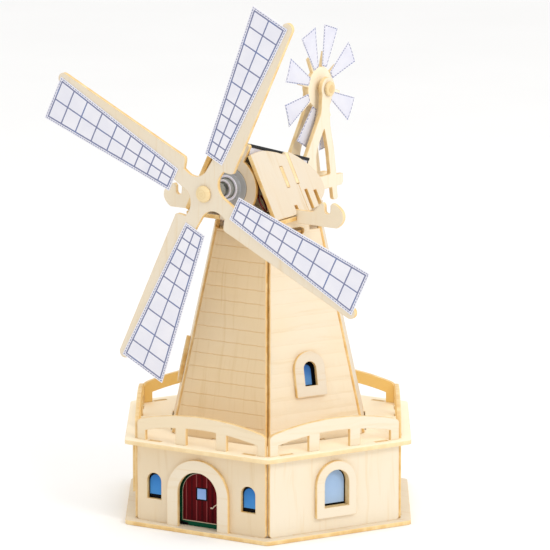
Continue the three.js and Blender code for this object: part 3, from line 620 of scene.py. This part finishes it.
def smoothed(points, longest=9.0, steps=3):
    """Rounds the short, gently turning stretches of an outline, and leaves its corners and straight sides."""
    count = len(points)
    sides = [points[(i + 1) % count] - points[i] for i in range(count)]
    turns = [sides[i - 1].angle_signed(sides[i], 0.0) for i in range(count)]
    gentle = [math.radians(1.0) < abs(turn) < math.radians(38.0) for turn in turns]
    tangents = [(sides[i - 1] + sides[i]).normalized() for i in range(count)]
    result = []
    for i, side in enumerate(sides):
        result.append(points[i])
        j = (i + 1) % count
        if side.length > longest or not (gentle[i] or gentle[j]):
            continue
        chord = side.normalized()
        leave = tangents[i] if gentle[i] else (2 * chord.dot(tangents[j]) * chord - tangents[j])
        arrive = tangents[j] if gentle[j] else (2 * chord.dot(leave) * chord - leave)
        for k in range(1, steps):
            t = k / steps
            result.append(
                points[i] * (2 * t ** 3 - 3 * t ** 2 + 1) + points[j] * (3 * t ** 2 - 2 * t ** 3)
                + leave * side.length * (t ** 3 - 2 * t ** 2 + t) + arrive * side.length * (t ** 3 - t ** 2)
            )
    return result


def inset(points, distance):
    """The outline moved into the wood, which lies on its left."""
    count = len(points)
    moved = []
    for i, point in enumerate(points):
        before = point - points[i - 1]
        after = points[(i + 1) % count] - point
        normals = [Vector((-side.y, side.x)).normalized() for side in (before, after)]
        half_turn = abs(before.angle_signed(after, 0.0)) / 2
        shortest = min(before.length, after.length)
        reach = min(distance, 0.45 * shortest / max(math.tan(min(half_turn, 1.4)), 1e-4))
        total = normals[0] + normals[1]
        moved.append(point + total * (reach / max(1.0 + normals[0].dot(normals[1]), 0.35)))
    return moved


def bridge(bm, upper, lower):
    """Joins two closed rings of as many corners with a band of faces."""
    for i in range(len(upper)):
        j = (i + 1) % len(upper)
        bm.faces.new((upper[j], upper[i], lower[i], lower[j]))


def sheet_solid(flat, veneer_values, painted_back_glow, upright):
    """A ply sheet with rounded, scorched rims, as a bmesh with its wood and marks attributes."""
    thick = min(flat.thick, PLY)
    bm = bmesh.new()
    wood = bm.verts.layers.float_vector.new("wood")
    marks = bm.verts.layers.float_vector.new("marks")
    veneer = bm.verts.layers.float_vector.new("veneer")
    rings = (
        (RIM + SCORCH, 0.0, 0.0, 0.0), (RIM, 0.0, 1.0, 0.0), (0.3 * RIM, 0.3 * RIM, 1.0, 0.5),
        (0.0, RIM, 1.0, 1.0), (0.0, thick / 3, 1.0, 1.0), (0.0, 2 * thick / 3, 1.0, 1.0),
        (0.0, thick - RIM, 1.0, 1.0), (0.3 * RIM, thick - 0.3 * RIM, 1.0, 0.5),
        (RIM, thick, 1.0, 0.0), (RIM + SCORCH, thick, 0.0, 0.0),
    )
    outlines = [smoothed(without_straight_points(points)) for points in flat.outlines()]
    first, last = [], []
    for outline in outlines:
        rows = []
        for distance, depth, scorch, edge in rings:
            row = []
            for u, v in inset(outline, distance) if distance else outline:
                vert = bm.verts.new(flat.at(u, v, depth))
                vert[wood] = (v, u, depth) if upright else (u, v, depth)
                # The inner side of the sheet gets the painted warm glow of bounced light in shade.
                vert[marks] = (edge, scorch, -painted_back_glow if depth > thick - RIM / 2 else 0.0)
                vert[veneer] = veneer_values
                row.append(vert)
            rows.append(row)
        for upper, lower in zip(rows, rows[1:]):
            bridge(bm, upper, lower)
        first.append(rows[0])
        last.append(rows[-1])
    for ends, flipped in ((first, False), (last, True)):
        verts = [vert for row in ends for vert in row]
        flat_points = [[Vector((*flat.flat(vert.co), 0.0)) for vert in row] for row in ends]
        for triangle in tessellate_polygon(flat_points):
            corners = [verts[i] for i in triangle]
            normal = (corners[1].co - corners[0].co).cross(corners[2].co - corners[0].co)
            if (normal.dot(flat.out) < 0.0) != flipped:
                corners.reverse()
            bm.faces.new(corners)
    bm.normal_update()
    return bm


def course_wave(u, course):
    """Height of a scored line above its course: a slow rise and a quick fall, as in a hand-laid row."""
    place = ((u + 4.7 * course) / 13.0) % 1.0
    return 0.30 * (place / 0.85 - 0.5 if place < 0.85 else (1.0 - place) / 0.15 - 0.5)


def bare_front(bm, flat, marks):
    """The faces of the outer side within its scorched rim, with their edges and corners."""
    faces = [
        face for face in bm.faces
        if face.normal.dot(flat.out) > 0.999 and all(vert[marks].y == 0.0 for vert in face.verts)
    ]
    edges = {edge for face in faces for edge in face.edges}
    verts = {vert for face in faces for vert in face.verts}
    return [*faces, *edges, *verts]


def score_courses(bm, flat, depth, strength):
    """Cuts the scored brick courses into the outer face of a tower wall."""
    marks = bm.verts.layers.float_vector["marks"]
    low = min(vert.co.dot(flat.rise) for vert in bm.verts) + 2.6
    high = max(vert.co.dot(flat.rise) for vert in bm.verts)
    spread = max(abs(vert.co.dot(flat.level)) for vert in bm.verts)
    rim = {vert for vert in bm.verts if vert[marks].y == 0.0}
    height = low + COURSE_FIRST
    while height < high:
        for shift in (-COURSE_HALF, 0.0, COURSE_HALF):
            bmesh.ops.bisect_plane(
                bm, geom=bare_front(bm, flat, marks), dist=1e-4,
                plane_co=flat.rise * (height + shift), plane_no=flat.rise,
            )
        height += COURSE_PITCH
    u = -spread
    while u < spread:
        bmesh.ops.bisect_plane(
            bm, geom=bare_front(bm, flat, marks), dist=1e-4, plane_co=flat.level * u, plane_no=flat.level,
        )
        u += COURSE_STEP
    for vert in bm.verts:
        sunk = flat.top - vert.co.dot(flat.out)
        if vert in rim or sunk > 1e-3 or vert[marks].y > 0.0:
            continue
        if any(face.normal.dot(flat.out) < 0.999 for face in vert.link_faces):
            continue
        u, v = flat.flat(vert.co)
        course = round((v - low - COURSE_FIRST) / COURSE_PITCH)
        off = v - low - COURSE_FIRST - COURSE_PITCH * course
        if abs(off) > COURSE_HALF + 0.01 or course < 0:
            continue
        vert.co += flat.rise * course_wave(u, course)
        if abs(off) < 0.01:
            vert.co -= flat.out * depth
            vert[marks] = (0.0, 0.0, strength)
    bm.normal_update()


def value_for(node, table, default):
    """The value of the first name in table that node starts with."""
    return next((value for start, value in table.items() if node.startswith(start)), default)


def plywood_pieces(material):
    number = 0
    for node, slot in SLOT_OF.items():
        if slot != "plywood":
            continue
        number += 1
        flat = Flat(node)
        veneer = (value_for(node, VENEER_AND_SHADE_WARMTH, 0.2), value_for(node, VENEER_AND_LIGHT_PALENESS, 0.0), number)
        painted_back_glow = value_for(node, PAINTED_BACK_GLOW, 0.2)
        upright = node == "tower_wall_front" or node.startswith(UPRIGHT_GRAIN)
        bm = sheet_solid(flat, veneer, painted_back_glow, upright)
        if node == "tower_wall_front":
            score_courses(bm, flat, 0.30, 0.5)
        elif node.startswith("tower_wall"):
            score_courses(bm, flat, 0.10, 0.12)
        make_piece(f"{node}_finish", bm, [material], BODY_OF[node], [node])


# ---------------------------------------------------------------- turned pieces


def turned_piece(name, profile, origin, axis, material, body, replaced=(), segments=64, number=1.0):
    """Spins (radius, distance, mark) points round an axis; wood = (along, around, out)."""
    bm = bmesh.new()
    wood = bm.verts.layers.float_vector.new("wood")
    marks = bm.verts.layers.float_vector.new("marks")
    veneer = bm.verts.layers.float_vector.new("veneer")
    axis = axis.normalized()
    side = axis.cross(UP if abs(axis.z) < 0.9 else CAP_X).normalized()
    other = axis.cross(side)
    rows = []
    for radius, distance, mark in profile:
        centre = origin + axis * distance
        row = []
        for i in range(segments if radius > 0.0 else 1):
            angle = 2 * math.pi * i / segments
            vert = bm.verts.new(centre + (side * math.cos(angle) + other * math.sin(angle)) * radius)
            around = radius * abs((i / segments) * 2 - 1) * math.pi
            vert[wood] = (distance, around, radius)
            vert[marks] = (0.0, mark, 0.0)
            vert[veneer] = (0.5, 0.5, number)
            row.append(vert)
        rows.append(row)
    for lower, upper in zip(rows, rows[1:]):
        for i in range(segments):
            j = (i + 1) % segments
            if len(lower) == 1:
                bm.faces.new((lower[0], upper[j], upper[i]))
            elif len(upper) == 1:
                bm.faces.new((lower[i], lower[j], upper[0]))
            else:
                bm.faces.new((lower[i], lower[j], upper[j], upper[i]))
    bmesh.ops.recalc_face_normals(bm, faces=bm.faces)
    return make_piece(name, bm, [material], body, replaced, sharp=40.0)


def eased(corners, radius, steps=3):
    """A (radius, distance, mark) profile whose inner corners are rounded off."""
    result = [corners[0]]
    for before, corner, after in zip(corners, corners[1:], corners[2:]):
        here = Vector(corner[:2])
        ends = []
        for other in (before, after):
            way = Vector(other[:2]) - here
            ends.append(here + way.normalized() * min(radius, way.length * 0.45))
        for k in range(steps + 1):
            t = k / steps
            point = ends[0] * (1 - t) ** 2 + here * 2 * t * (1 - t) + ends[1] * t ** 2
            result.append((point.x, point.y, corner[2]))
    result.append(corners[-1])
    return result


def on_cap(x, y, z):
    return CAP_X * x + CAP_Y * y + UP * z


def turned_pieces(dowel, metal):
    # The third numbers paint the light on the can: 0 for the painted highlight rings at the fronts of the
    # step and the boss, 0.4 for its own satin grey, and 0.7 to 0.9 for painted shade in the groove and the
    # bore.
    can = [
        (0.0, 0.0, 0.4), (13.9, 0.0, 0.4), (13.9, 22.3, 0.4), (9.4, 22.4, 0.4), (9.4, 26.6, 0.4),
        (9.2, 27.2, 0.0), (7.6, 27.2, 0.0), (7.4, 26.4, 0.9), (6.9, 26.4, 0.9), (6.9, 30.8, 0.7),
        (6.7, 31.2, 0.0), (5.3, 31.3, 0.0), (5.1, 30.6, 0.8), (5.1, 28.2, 0.9), (2.2, 28.2, 0.9),
        (1.7, 29.0, 0.3), (1.7, 32.3, 0.3), (1.6, 32.4, 0.3), (1.6, 24.0, 0.2), (0.0, 24.0, 0.2),
    ]
    turned_piece("motor_finish", eased(can, 0.4), on_cap(0.0, -26.0, SHAFT_Z), -CAP_Y, metal, "cap",
                 ["motor"], number=2.0)
    shaft = [
        (0.0, 0.0, 0.0), (1.2, 0.3, 0.0), (1.2, 10.0, 0.2), (3.0, 10.2, 0.5), (3.0, 25.85, 0.0),
        (3.0, 29.15, 0.0), (5.6, 29.2, 0.8), (6.1, 29.6, 0.4), (6.0, 30.6, 0.1), (5.2, 31.7, 0.0),
        (3.9, 32.4, 0.0), (2.0, 32.8, 0.0), (0.0, 32.9, 0.0),
    ]
    turned_piece("sail_shaft_finish", eased(shaft, 0.3), on_cap(0.0, -51.0, SHAFT_Z), -CAP_Y, dowel, "sails",
                 ["sail_shaft"], number=3.0)
    sleeve = [
        (0.0, 10.0, 0.9), (5.2, 10.0, 0.9), (5.2, 25.6, 0.9), (3.2, 25.7, 0.9), (3.2, 25.4, 0.9),
        (0.0, 25.4, 0.9),
    ]
    turned_piece("sail_sleeve", eased(sleeve, 0.2), on_cap(0.0, -51.0, SHAFT_Z), -CAP_Y, metal, "sails",
                 number=6.0)
    axle = [
        (0.0, 0.0, 0.9), (2.4, 0.0, 0.9), (3.0, 0.6, 0.3), (3.0, 21.3, 0.1), (5.2, 21.4, 0.8),
        (5.4, 21.8, 0.2), (5.4, 23.2, 0.1), (4.9, 23.6, 0.2), (3.0, 23.7, 0.1), (2.8, 24.2, 0.6),
        (0.0, 24.2, 0.8),
    ]
    turned_piece("fan_axle_finish", eased(axle, 0.2), on_cap(-12.4, FAN_Y, FAN_Z), CAP_X, dowel, "fantail",
                 ["fan_axle"], segments=40, number=4.0)
    drum = [
        (0.0, -16.6, 0.9), (31.3, -16.6, 0.9), (31.5, -16.4, 0.5), (31.5, -6.5, 0.5), (31.3, -6.3, 0.5),
        (4.0, -6.3, 0.5), (4.0, -0.05, 0.2), (0.0, -0.05, 0.2),
    ]
    turned_piece("turntable_finish", eased(drum, 0.2), on_cap(0.0, 0.0, CAP_FLOOR_Z + 0.05), UP, dowel,
                 "cap", segments=96, number=5.0)


# ---------------------------------------------------------------- cards


def line_distance(point, start, end):
    """Distance of point to the left of the line from start to end."""
    way = (end - start).normalized()
    return way.x * (point.y - start.y) - way.y * (point.x - start.x)


def card_solid(flat, corners, thick, bulge, columns, rows):
    """A thin card between corners (root right, root left, tip left, tip right), curved by bulge(s, t)."""
    bm = bmesh.new()
    sides = bm.verts.layers.float_vector.new("sides")
    ends = bm.verts.layers.float_vector.new("ends")
    root_right, root_left, tip_left, tip_right = corners
    root_middle, tip_middle = (root_right + root_left) / 2, (tip_right + tip_left) / 2
    sign = 1.0 if line_distance(root_left, root_right, tip_right) > 0.0 else -1.0
    grids = []
    for layer in (0, 1):
        grid = []
        for i in range(rows + 1):
            row = []
            for j in range(columns + 1):
                s, t = j / columns, i / rows
                point = root_right.lerp(root_left, s).lerp(tip_right.lerp(tip_left, s), t)
                vert = bm.verts.new(flat.at(point.x, point.y, layer * thick - bulge(s, t)))
                to_right = sign * line_distance(point, root_right, tip_right)
                to_left = -sign * line_distance(point, root_left, tip_left)
                to_middle = sign * line_distance(point, root_middle, tip_middle)
                to_root = -sign * line_distance(point, root_right, root_left)
                to_tip = sign * line_distance(point, tip_right, tip_left)
                span = to_root + to_tip - 2 * SHEET_INSET
                vert[sides] = (to_right, to_left, to_middle)
                vert[ends] = (to_root, to_tip, (to_root - SHEET_INSET) / span)
                row.append(vert)
            grid.append(row)
        grids.append(grid)
    for i in range(rows):
        for j in range(columns):
            for grid in grids:
                bm.faces.new((grid[i][j], grid[i][j + 1], grid[i + 1][j + 1], grid[i + 1][j]))
    front, back = grids
    edge_rows = [
        [(i, 0) for i in range(rows + 1)], [(rows, j) for j in range(columns + 1)],
        [(i, columns) for i in range(rows, -1, -1)], [(0, j) for j in range(columns, -1, -1)],
    ]
    for path in edge_rows:
        for (i, j), (k, m) in zip(path, path[1:]):
            bm.faces.new((front[i][j], front[k][m], back[k][m], back[i][j]))
    bmesh.ops.recalc_face_normals(bm, faces=bm.faces)
    return bm


def ordered_corners(flat, centre, clockwise):
    """(root right, root left, tip left, tip right) of a four-cornered card, seen from its outer side."""
    outline = without_straight_points(flat.outlines()[0])
    outline.sort(key=lambda point: (point - centre).length)
    root, tip = outline[:2], outline[2:4]
    outward = ((tip[0] + tip[1]) - (root[0] + root[1])).normalized()
    leftward = Vector((-outward.y, outward.x)) * (1.0 if clockwise else -1.0)
    root.sort(key=lambda point: point.dot(leftward))
    tip.sort(key=lambda point: point.dot(leftward))
    return root[0], root[1], tip[1], tip[0]


def card_pieces(sheet_card, blade_card):
    hub = on_cap(0.0, 0.0, SHAFT_Z)
    for k in range(1, 5):
        node = f"sail_sheet_{k}"
        flat = Flat(node)
        corners = ordered_corners(flat, Vector(flat.flat(hub)), True)
        def bulge(s, t, k=k):
            swell = 0.22 * math.sin(math.pi * s) * math.sin(math.pi * t)
            return swell + 0.10 * math.sin(3.1 * math.pi * t + k) * s
        bm = card_solid(flat, corners, 0.45, bulge, 10, 36)
        make_piece(f"{node}_finish", bm, [sheet_card], "sails", [node])
    axle = on_cap(0.0, FAN_Y, FAN_Z)
    rng = random.Random(11)
    for k in range(1, 9):
        node = f"fan_blade_{k}"
        flat = Flat(node)
        corners = ordered_corners(flat, Vector(flat.flat(axle)), True)
        lean, twist = rng.uniform(-0.5, 0.5), rng.uniform(-0.8, 0.8)
        def bulge(s, t, lean=lean, twist=twist):
            return 0.35 * math.sin(math.pi * s) * t + lean * t * t + twist * (s - 0.5) * t * t
        bm = card_solid(flat, corners, 0.4, bulge, 8, 14)
        make_piece(f"{node}_finish", bm, [blade_card], "fantail", [node])


# ---------------------------------------------------------------- printed pictures


class Wall:
    """A printed picture plane behind an upright or leaning wall: s to the right, h up, off outwards."""

    def __init__(self, centre, out, rise):
        self.centre, self.out, self.rise = centre, out, rise
        self.right = rise.cross(out) * -1.0

    def at(self, s, h, off=0.0):
        return self.centre + self.right * s + self.rise * h + self.out * off


def house_wall_plane(angle_degrees):
    """The print strip's outer face on that side, with h as the height above the floor."""
    angle = math.radians(angle_degrees)
    out = Vector((math.cos(angle), math.sin(angle), 0.0))
    plane = Wall(out * (HOUSE_APOTHEM - PLY - PRINT_GAP), out, UP)
    plane.right = UP.cross(out)
    return plane


def arch(half, sill, spring, centre=0.0, steps=28):
    points = [(centre - half, sill), (centre + half, sill)]
    for k in range(steps + 1):
        angle = math.pi * k / steps
        points.append((centre + half * math.cos(angle), spring + half * math.sin(angle)))
    return points


def ribbon(points, width):
    """The closed outline of a line of that width."""
    left, right = [], []
    for i, point in enumerate(points):
        way = Vector(points[min(i + 1, len(points) - 1)]) - Vector(points[max(i - 1, 0)])
        side = Vector((-way.y, way.x)).normalized() * width / 2
        left.append(tuple(Vector(point) + side))
        right.append(tuple(Vector(point) - side))
    return right + left[::-1]


def printed_piece(name, plane, layers, materials, body):
    """Stacks flat inked shapes, each (outline, material index), a hair above each other on a plane."""
    bm = bmesh.new()
    for level, (outline, index) in enumerate(layers):
        tops = [bm.verts.new(plane.at(s, h, 0.05 + 0.02 * level)) for s, h in outline]
        backs = [bm.verts.new(plane.at(s, h, 0.04 + 0.02 * level)) for s, h in outline]
        points = [Vector((s, h, 0.0)) for s, h in outline]
        faces = []
        for a, b, c in tessellate_polygon([points]):
            faces.append(bm.faces.new((tops[a], tops[b], tops[c])))
            faces.append(bm.faces.new((backs[c], backs[b], backs[a])))
        for i in range(len(outline)):
            j = (i + 1) % len(outline)
            faces.append(bm.faces.new((tops[i], backs[i], backs[j], tops[j])))
        for face in faces:
            face.material_index = index
    bmesh.ops.recalc_face_normals(bm, faces=bm.faces)
    make_piece(name, bm, materials, body)


def print_pieces():
    black = print_material("black_ink", srgb(16, 18, 24), srgb(10, 11, 14), 0.0, 60.0)
    deep_blue = print_material("window_blue", srgb(50, 118, 194), srgb(78, 150, 222), 20.0, 42.0, 0.3)
    pale_blue = print_material("side_window_blue", srgb(160, 190, 228), srgb(172, 200, 234), 18.0, 48.0, 0.3)
    maroon = print_material("door_maroon", srgb(96, 4, 10), srgb(78, 4, 10), 4.0, 40.0)
    plank_light = print_material("plank_light", srgb(140, 66, 66), srgb(124, 48, 50), 4.0, 40.0)
    plank_dark = print_material("plank_dark", srgb(66, 6, 10), srgb(52, 4, 8), 4.0, 40.0)
    green = print_material("frame_green", srgb(12, 52, 28), srgb(8, 74, 50), 4.0, 40.0)
    cream = print_material("cream_ink", srgb(214, 200, 180), srgb(190, 172, 150), 4.0, 40.0)
    pane = print_material("door_pane_blue", srgb(136, 170, 226), srgb(146, 180, 232), 24.0, 34.0, 0.3)

    front = house_wall_plane(-90.0)
    for name, s in (("left", -38.9), ("right", 38.9)):
        layers = [(arch(9.0, 17.0, 32.6, s), 0), (arch(5.3, 22.4, 31.6, s), 1)]
        printed_piece(f"front_window_print_{name}", front, layers, [black, deep_blue], "tower")
    for name, angle in (("left", -150.0), ("right", -30.0)):
        plane = house_wall_plane(angle)
        layers = [(arch(14.2, 14.6, 37.0), 0), (arch(9.2, 21.4, 37.0), 1)]
        printed_piece(f"side_window_print_{name}", plane, layers, [black, pale_blue], "tower")

    leaf, leaf_half, leaf_spring, sill = -2.2, 14.6, 27.5, 6.5
    layers = [
        (arch(20.6, 3.4, 27.5, leaf), 4),
        ([(-19.8, 3.4), (-12.0, 3.4), (-12.6, 5.2), (-18.6, 5.9), (-18.8, 11.0), (-19.8, 13.0)], 1),
        (arch(leaf_half + 0.35, sill, leaf_spring, leaf), 3),
        (arch(leaf_half, sill + 0.6, leaf_spring, leaf), 2),
    ]
    for k in range(7):
        s = leaf - 11.7 + 4.25 * k
        top = leaf_spring + math.sqrt(leaf_half ** 2 - (s - leaf) ** 2) - 0.3
        width, tint = (0.6, 5) if k % 2 else (0.95, 6)
        layers.append((ribbon([(s, 7.6), (s + 0.1, 20.0), (s, top)], width), tint))
        layers.append((ribbon([(s + 1.0, 7.6), (s + 0.9, 21.0), (s + 1.0, top - 1.4)], 0.45), 5))
    layers += [
        ([(-5.7, 22.6), (3.6, 22.8), (3.6, 32.3), (-5.7, 32.0)], 1),
        ([(-4.6, 23.6), (2.6, 23.7), (2.6, 31.4), (-4.6, 31.2)], 0),
    ]
    handle = [
        (6.4, 18.2), (7.2, 18.6), (7.9, 18.2), (8.6, 18.8), (9.3, 19.9), (10.0, 20.4), (10.9, 20.8),
        (11.6, 21.8),
    ]
    layers += [(ribbon(handle, 0.7), 3), (ribbon([(6.3, 18.3), (8.0, 18.3)], 1.1), 3)]
    inks = [pane, black, maroon, cream, green, plank_dark, plank_light]
    printed_piece("door_print", front, layers, inks, "tower")

    for name in ("left", "right"):
        flat = Flat(f"tower_window_print_{name}")
        plane = Wall(flat.at(0.0, 0.0), flat.out, flat.rise)
        plane.right = flat.level
        foot = min(flat.flat(vert.co)[1] for vert in flat.solid.verts) - 35.0
        centre = 1.1 if name == "left" else -1.1
        layers = [
            ([(-10.2, foot + 35.3), (10.2, foot + 35.3), (10.2, foot + 62.2), (-10.2, foot + 62.2)], 0),
            (arch(4.3, foot + 40.0, foot + 50.4, centre - 0.5), 1),
        ]
        name_of_blue = f"tower_window_blue_{name}"
        sky = print_material(name_of_blue, srgb(56, 112, 190), srgb(104, 160, 222), 100.0, 116.0, 0.3)
        printed_piece(f"tower_window_picture_{name}", plane, layers, [black, sky], "tower")


# ---------------------------------------------------------------- panel and carried-over nodes


def panel_pieces(material):
    flat = Flat("solar_panel")
    points = [flat.flat(vert.co) for vert in flat.solid.verts]
    (u0, u1), (v0, v1) = [(min(values), max(values)) for values in zip(*points)]
    bm = bmesh.new()
    wood = bm.verts.layers.float_vector.new("wood")
    marks = bm.verts.layers.float_vector.new("marks")
    rim, recess = 1.1, 0.25
    rings = [
        (rim + 0.25, recess, 1.0), (rim, 0.0, 0.0), (0.35, 0.0, 0.0), (0.1, 0.1, 0.0), (0.0, 0.35, 0.0),
        (0.0, flat.thick - 0.3, 0.0), (0.3, flat.thick, 0.0),
    ]
    rows = []
    for distance, depth, cell in rings:
        a0, a1, b0, b1 = u0 + distance, u1 - distance, v0 + distance, v1 - distance
        row = []
        for u, v in ((a0, b0), (a1, b0), (a1, b1), (a0, b1)):
            vert = bm.verts.new(flat.at(u, v, depth))
            vert[wood] = (v, u, 0.0 if cell else 1.0 + depth)
            vert[marks] = (0.0, 0.0, cell)
            row.append(vert)
        rows.append(row)
    for upper, lower in zip(rows, rows[1:]):
        bridge(bm, upper, lower)
    bm.faces.new(rows[0])
    bm.faces.new(rows[-1][::-1])
    bmesh.ops.recalc_face_normals(bm, faces=bm.faces)
    make_piece("solar_panel_finish", bm, [material], "cap", ["solar_panel"])

    lip = bmesh.new()
    wood = lip.verts.layers.float_vector.new("wood")
    lip.verts.layers.float_vector.new("marks")
    rear = v0 if flat.rise.dot(CAP_Y) < 0.0 else v1
    inner = rear + (1.0 if rear == v0 else -1.0)
    bottoms = [(u0 + 0.8, 8.6), (u1 - 0.8, 8.6)]
    outline = [(u0 + 0.6, flat.thick + 0.05), (u1 - 0.6, flat.thick + 0.05), bottoms[1], bottoms[0]]
    layers = []
    for v in (rear, inner):
        layers.append([lip.verts.new(flat.at(u, v, depth)) for u, depth in outline])
    for vert in lip.verts:
        vert[wood] = (1.0, vert.co.dot(CAP_X), 2.0)
    lip.faces.new(layers[0])
    lip.faces.new(layers[1][::-1])
    bridge(lip, layers[0], layers[1])
    bmesh.ops.recalc_face_normals(lip, faces=lip.faces)
    bmesh.ops.bevel(lip, geom=lip.edges[:], offset=0.15, segments=2, affect="EDGES")
    make_piece("panel_rear_lip", lip, [material], "cap")


def lead_piece(material):
    """The motor's lead, from the back of the motor to the panel's tray, as one smooth curve."""
    data = bpy.data.curves.new("motor_wire", "CURVE")
    data.dimensions = "3D"
    data.bevel_depth = LEAD_DIAMETER / 2
    data.bevel_resolution = 4
    data.resolution_u = 12
    data.use_fill_caps = True
    spline = data.splines.new("BEZIER")
    spline.bezier_points.add(len(LEAD_ROUTE) - 1)
    for knot, place in zip(spline.bezier_points, LEAD_ROUTE):
        knot.co = on_cap(*place) * MM
        knot.handle_left_type = "AUTO"
        knot.handle_right_type = "AUTO"
    data.materials.append(material)
    wire = bpy.data.objects.new("motor_wire", data)
    bpy.context.scene.collection.objects.link(wire)
    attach(wire, "cap")
    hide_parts("motor_lead")


def carried_over(node, material, bevel):
    """Gives a CAD node that stays its material and softer edges."""
    piece = frame["nodes"][node]
    piece.data.materials.clear()
    piece.data.materials.append(material)
    weld = piece.modifiers.new("weld", "WELD")
    weld.merge_threshold = 1e-6
    edge = piece.modifiers.new("soft_edges", "BEVEL")
    edge.width = bevel * MM
    edge.segments = 2
    edge.limit_method = "ANGLE"
    edge.angle_limit = math.radians(35.0)


make_camera()
lead_piece(wire_material())
make_studio()
plywood_pieces(plywood_material())
turned_pieces(dowel_material(), metal_material())
card_pieces(sheet_material(), blade_material())
print_pieces()
panel_pieces(solar_material())
tray_card = plain_card_material("white_tray_card", srgb(230, 230, 240), srgb(216, 216, 228))
strip_card = plain_card_material("print_strip_card", srgb(228, 226, 222), srgb(206, 202, 196))
carried_over("panel_tray", tray_card, bevel=0.12)
carried_over("house_print_strip", strip_card, bevel=0.1)
carried_over("tower_window_print_left", strip_card, bevel=0.1)
carried_over("tower_window_print_right", strip_card, bevel=0.1)
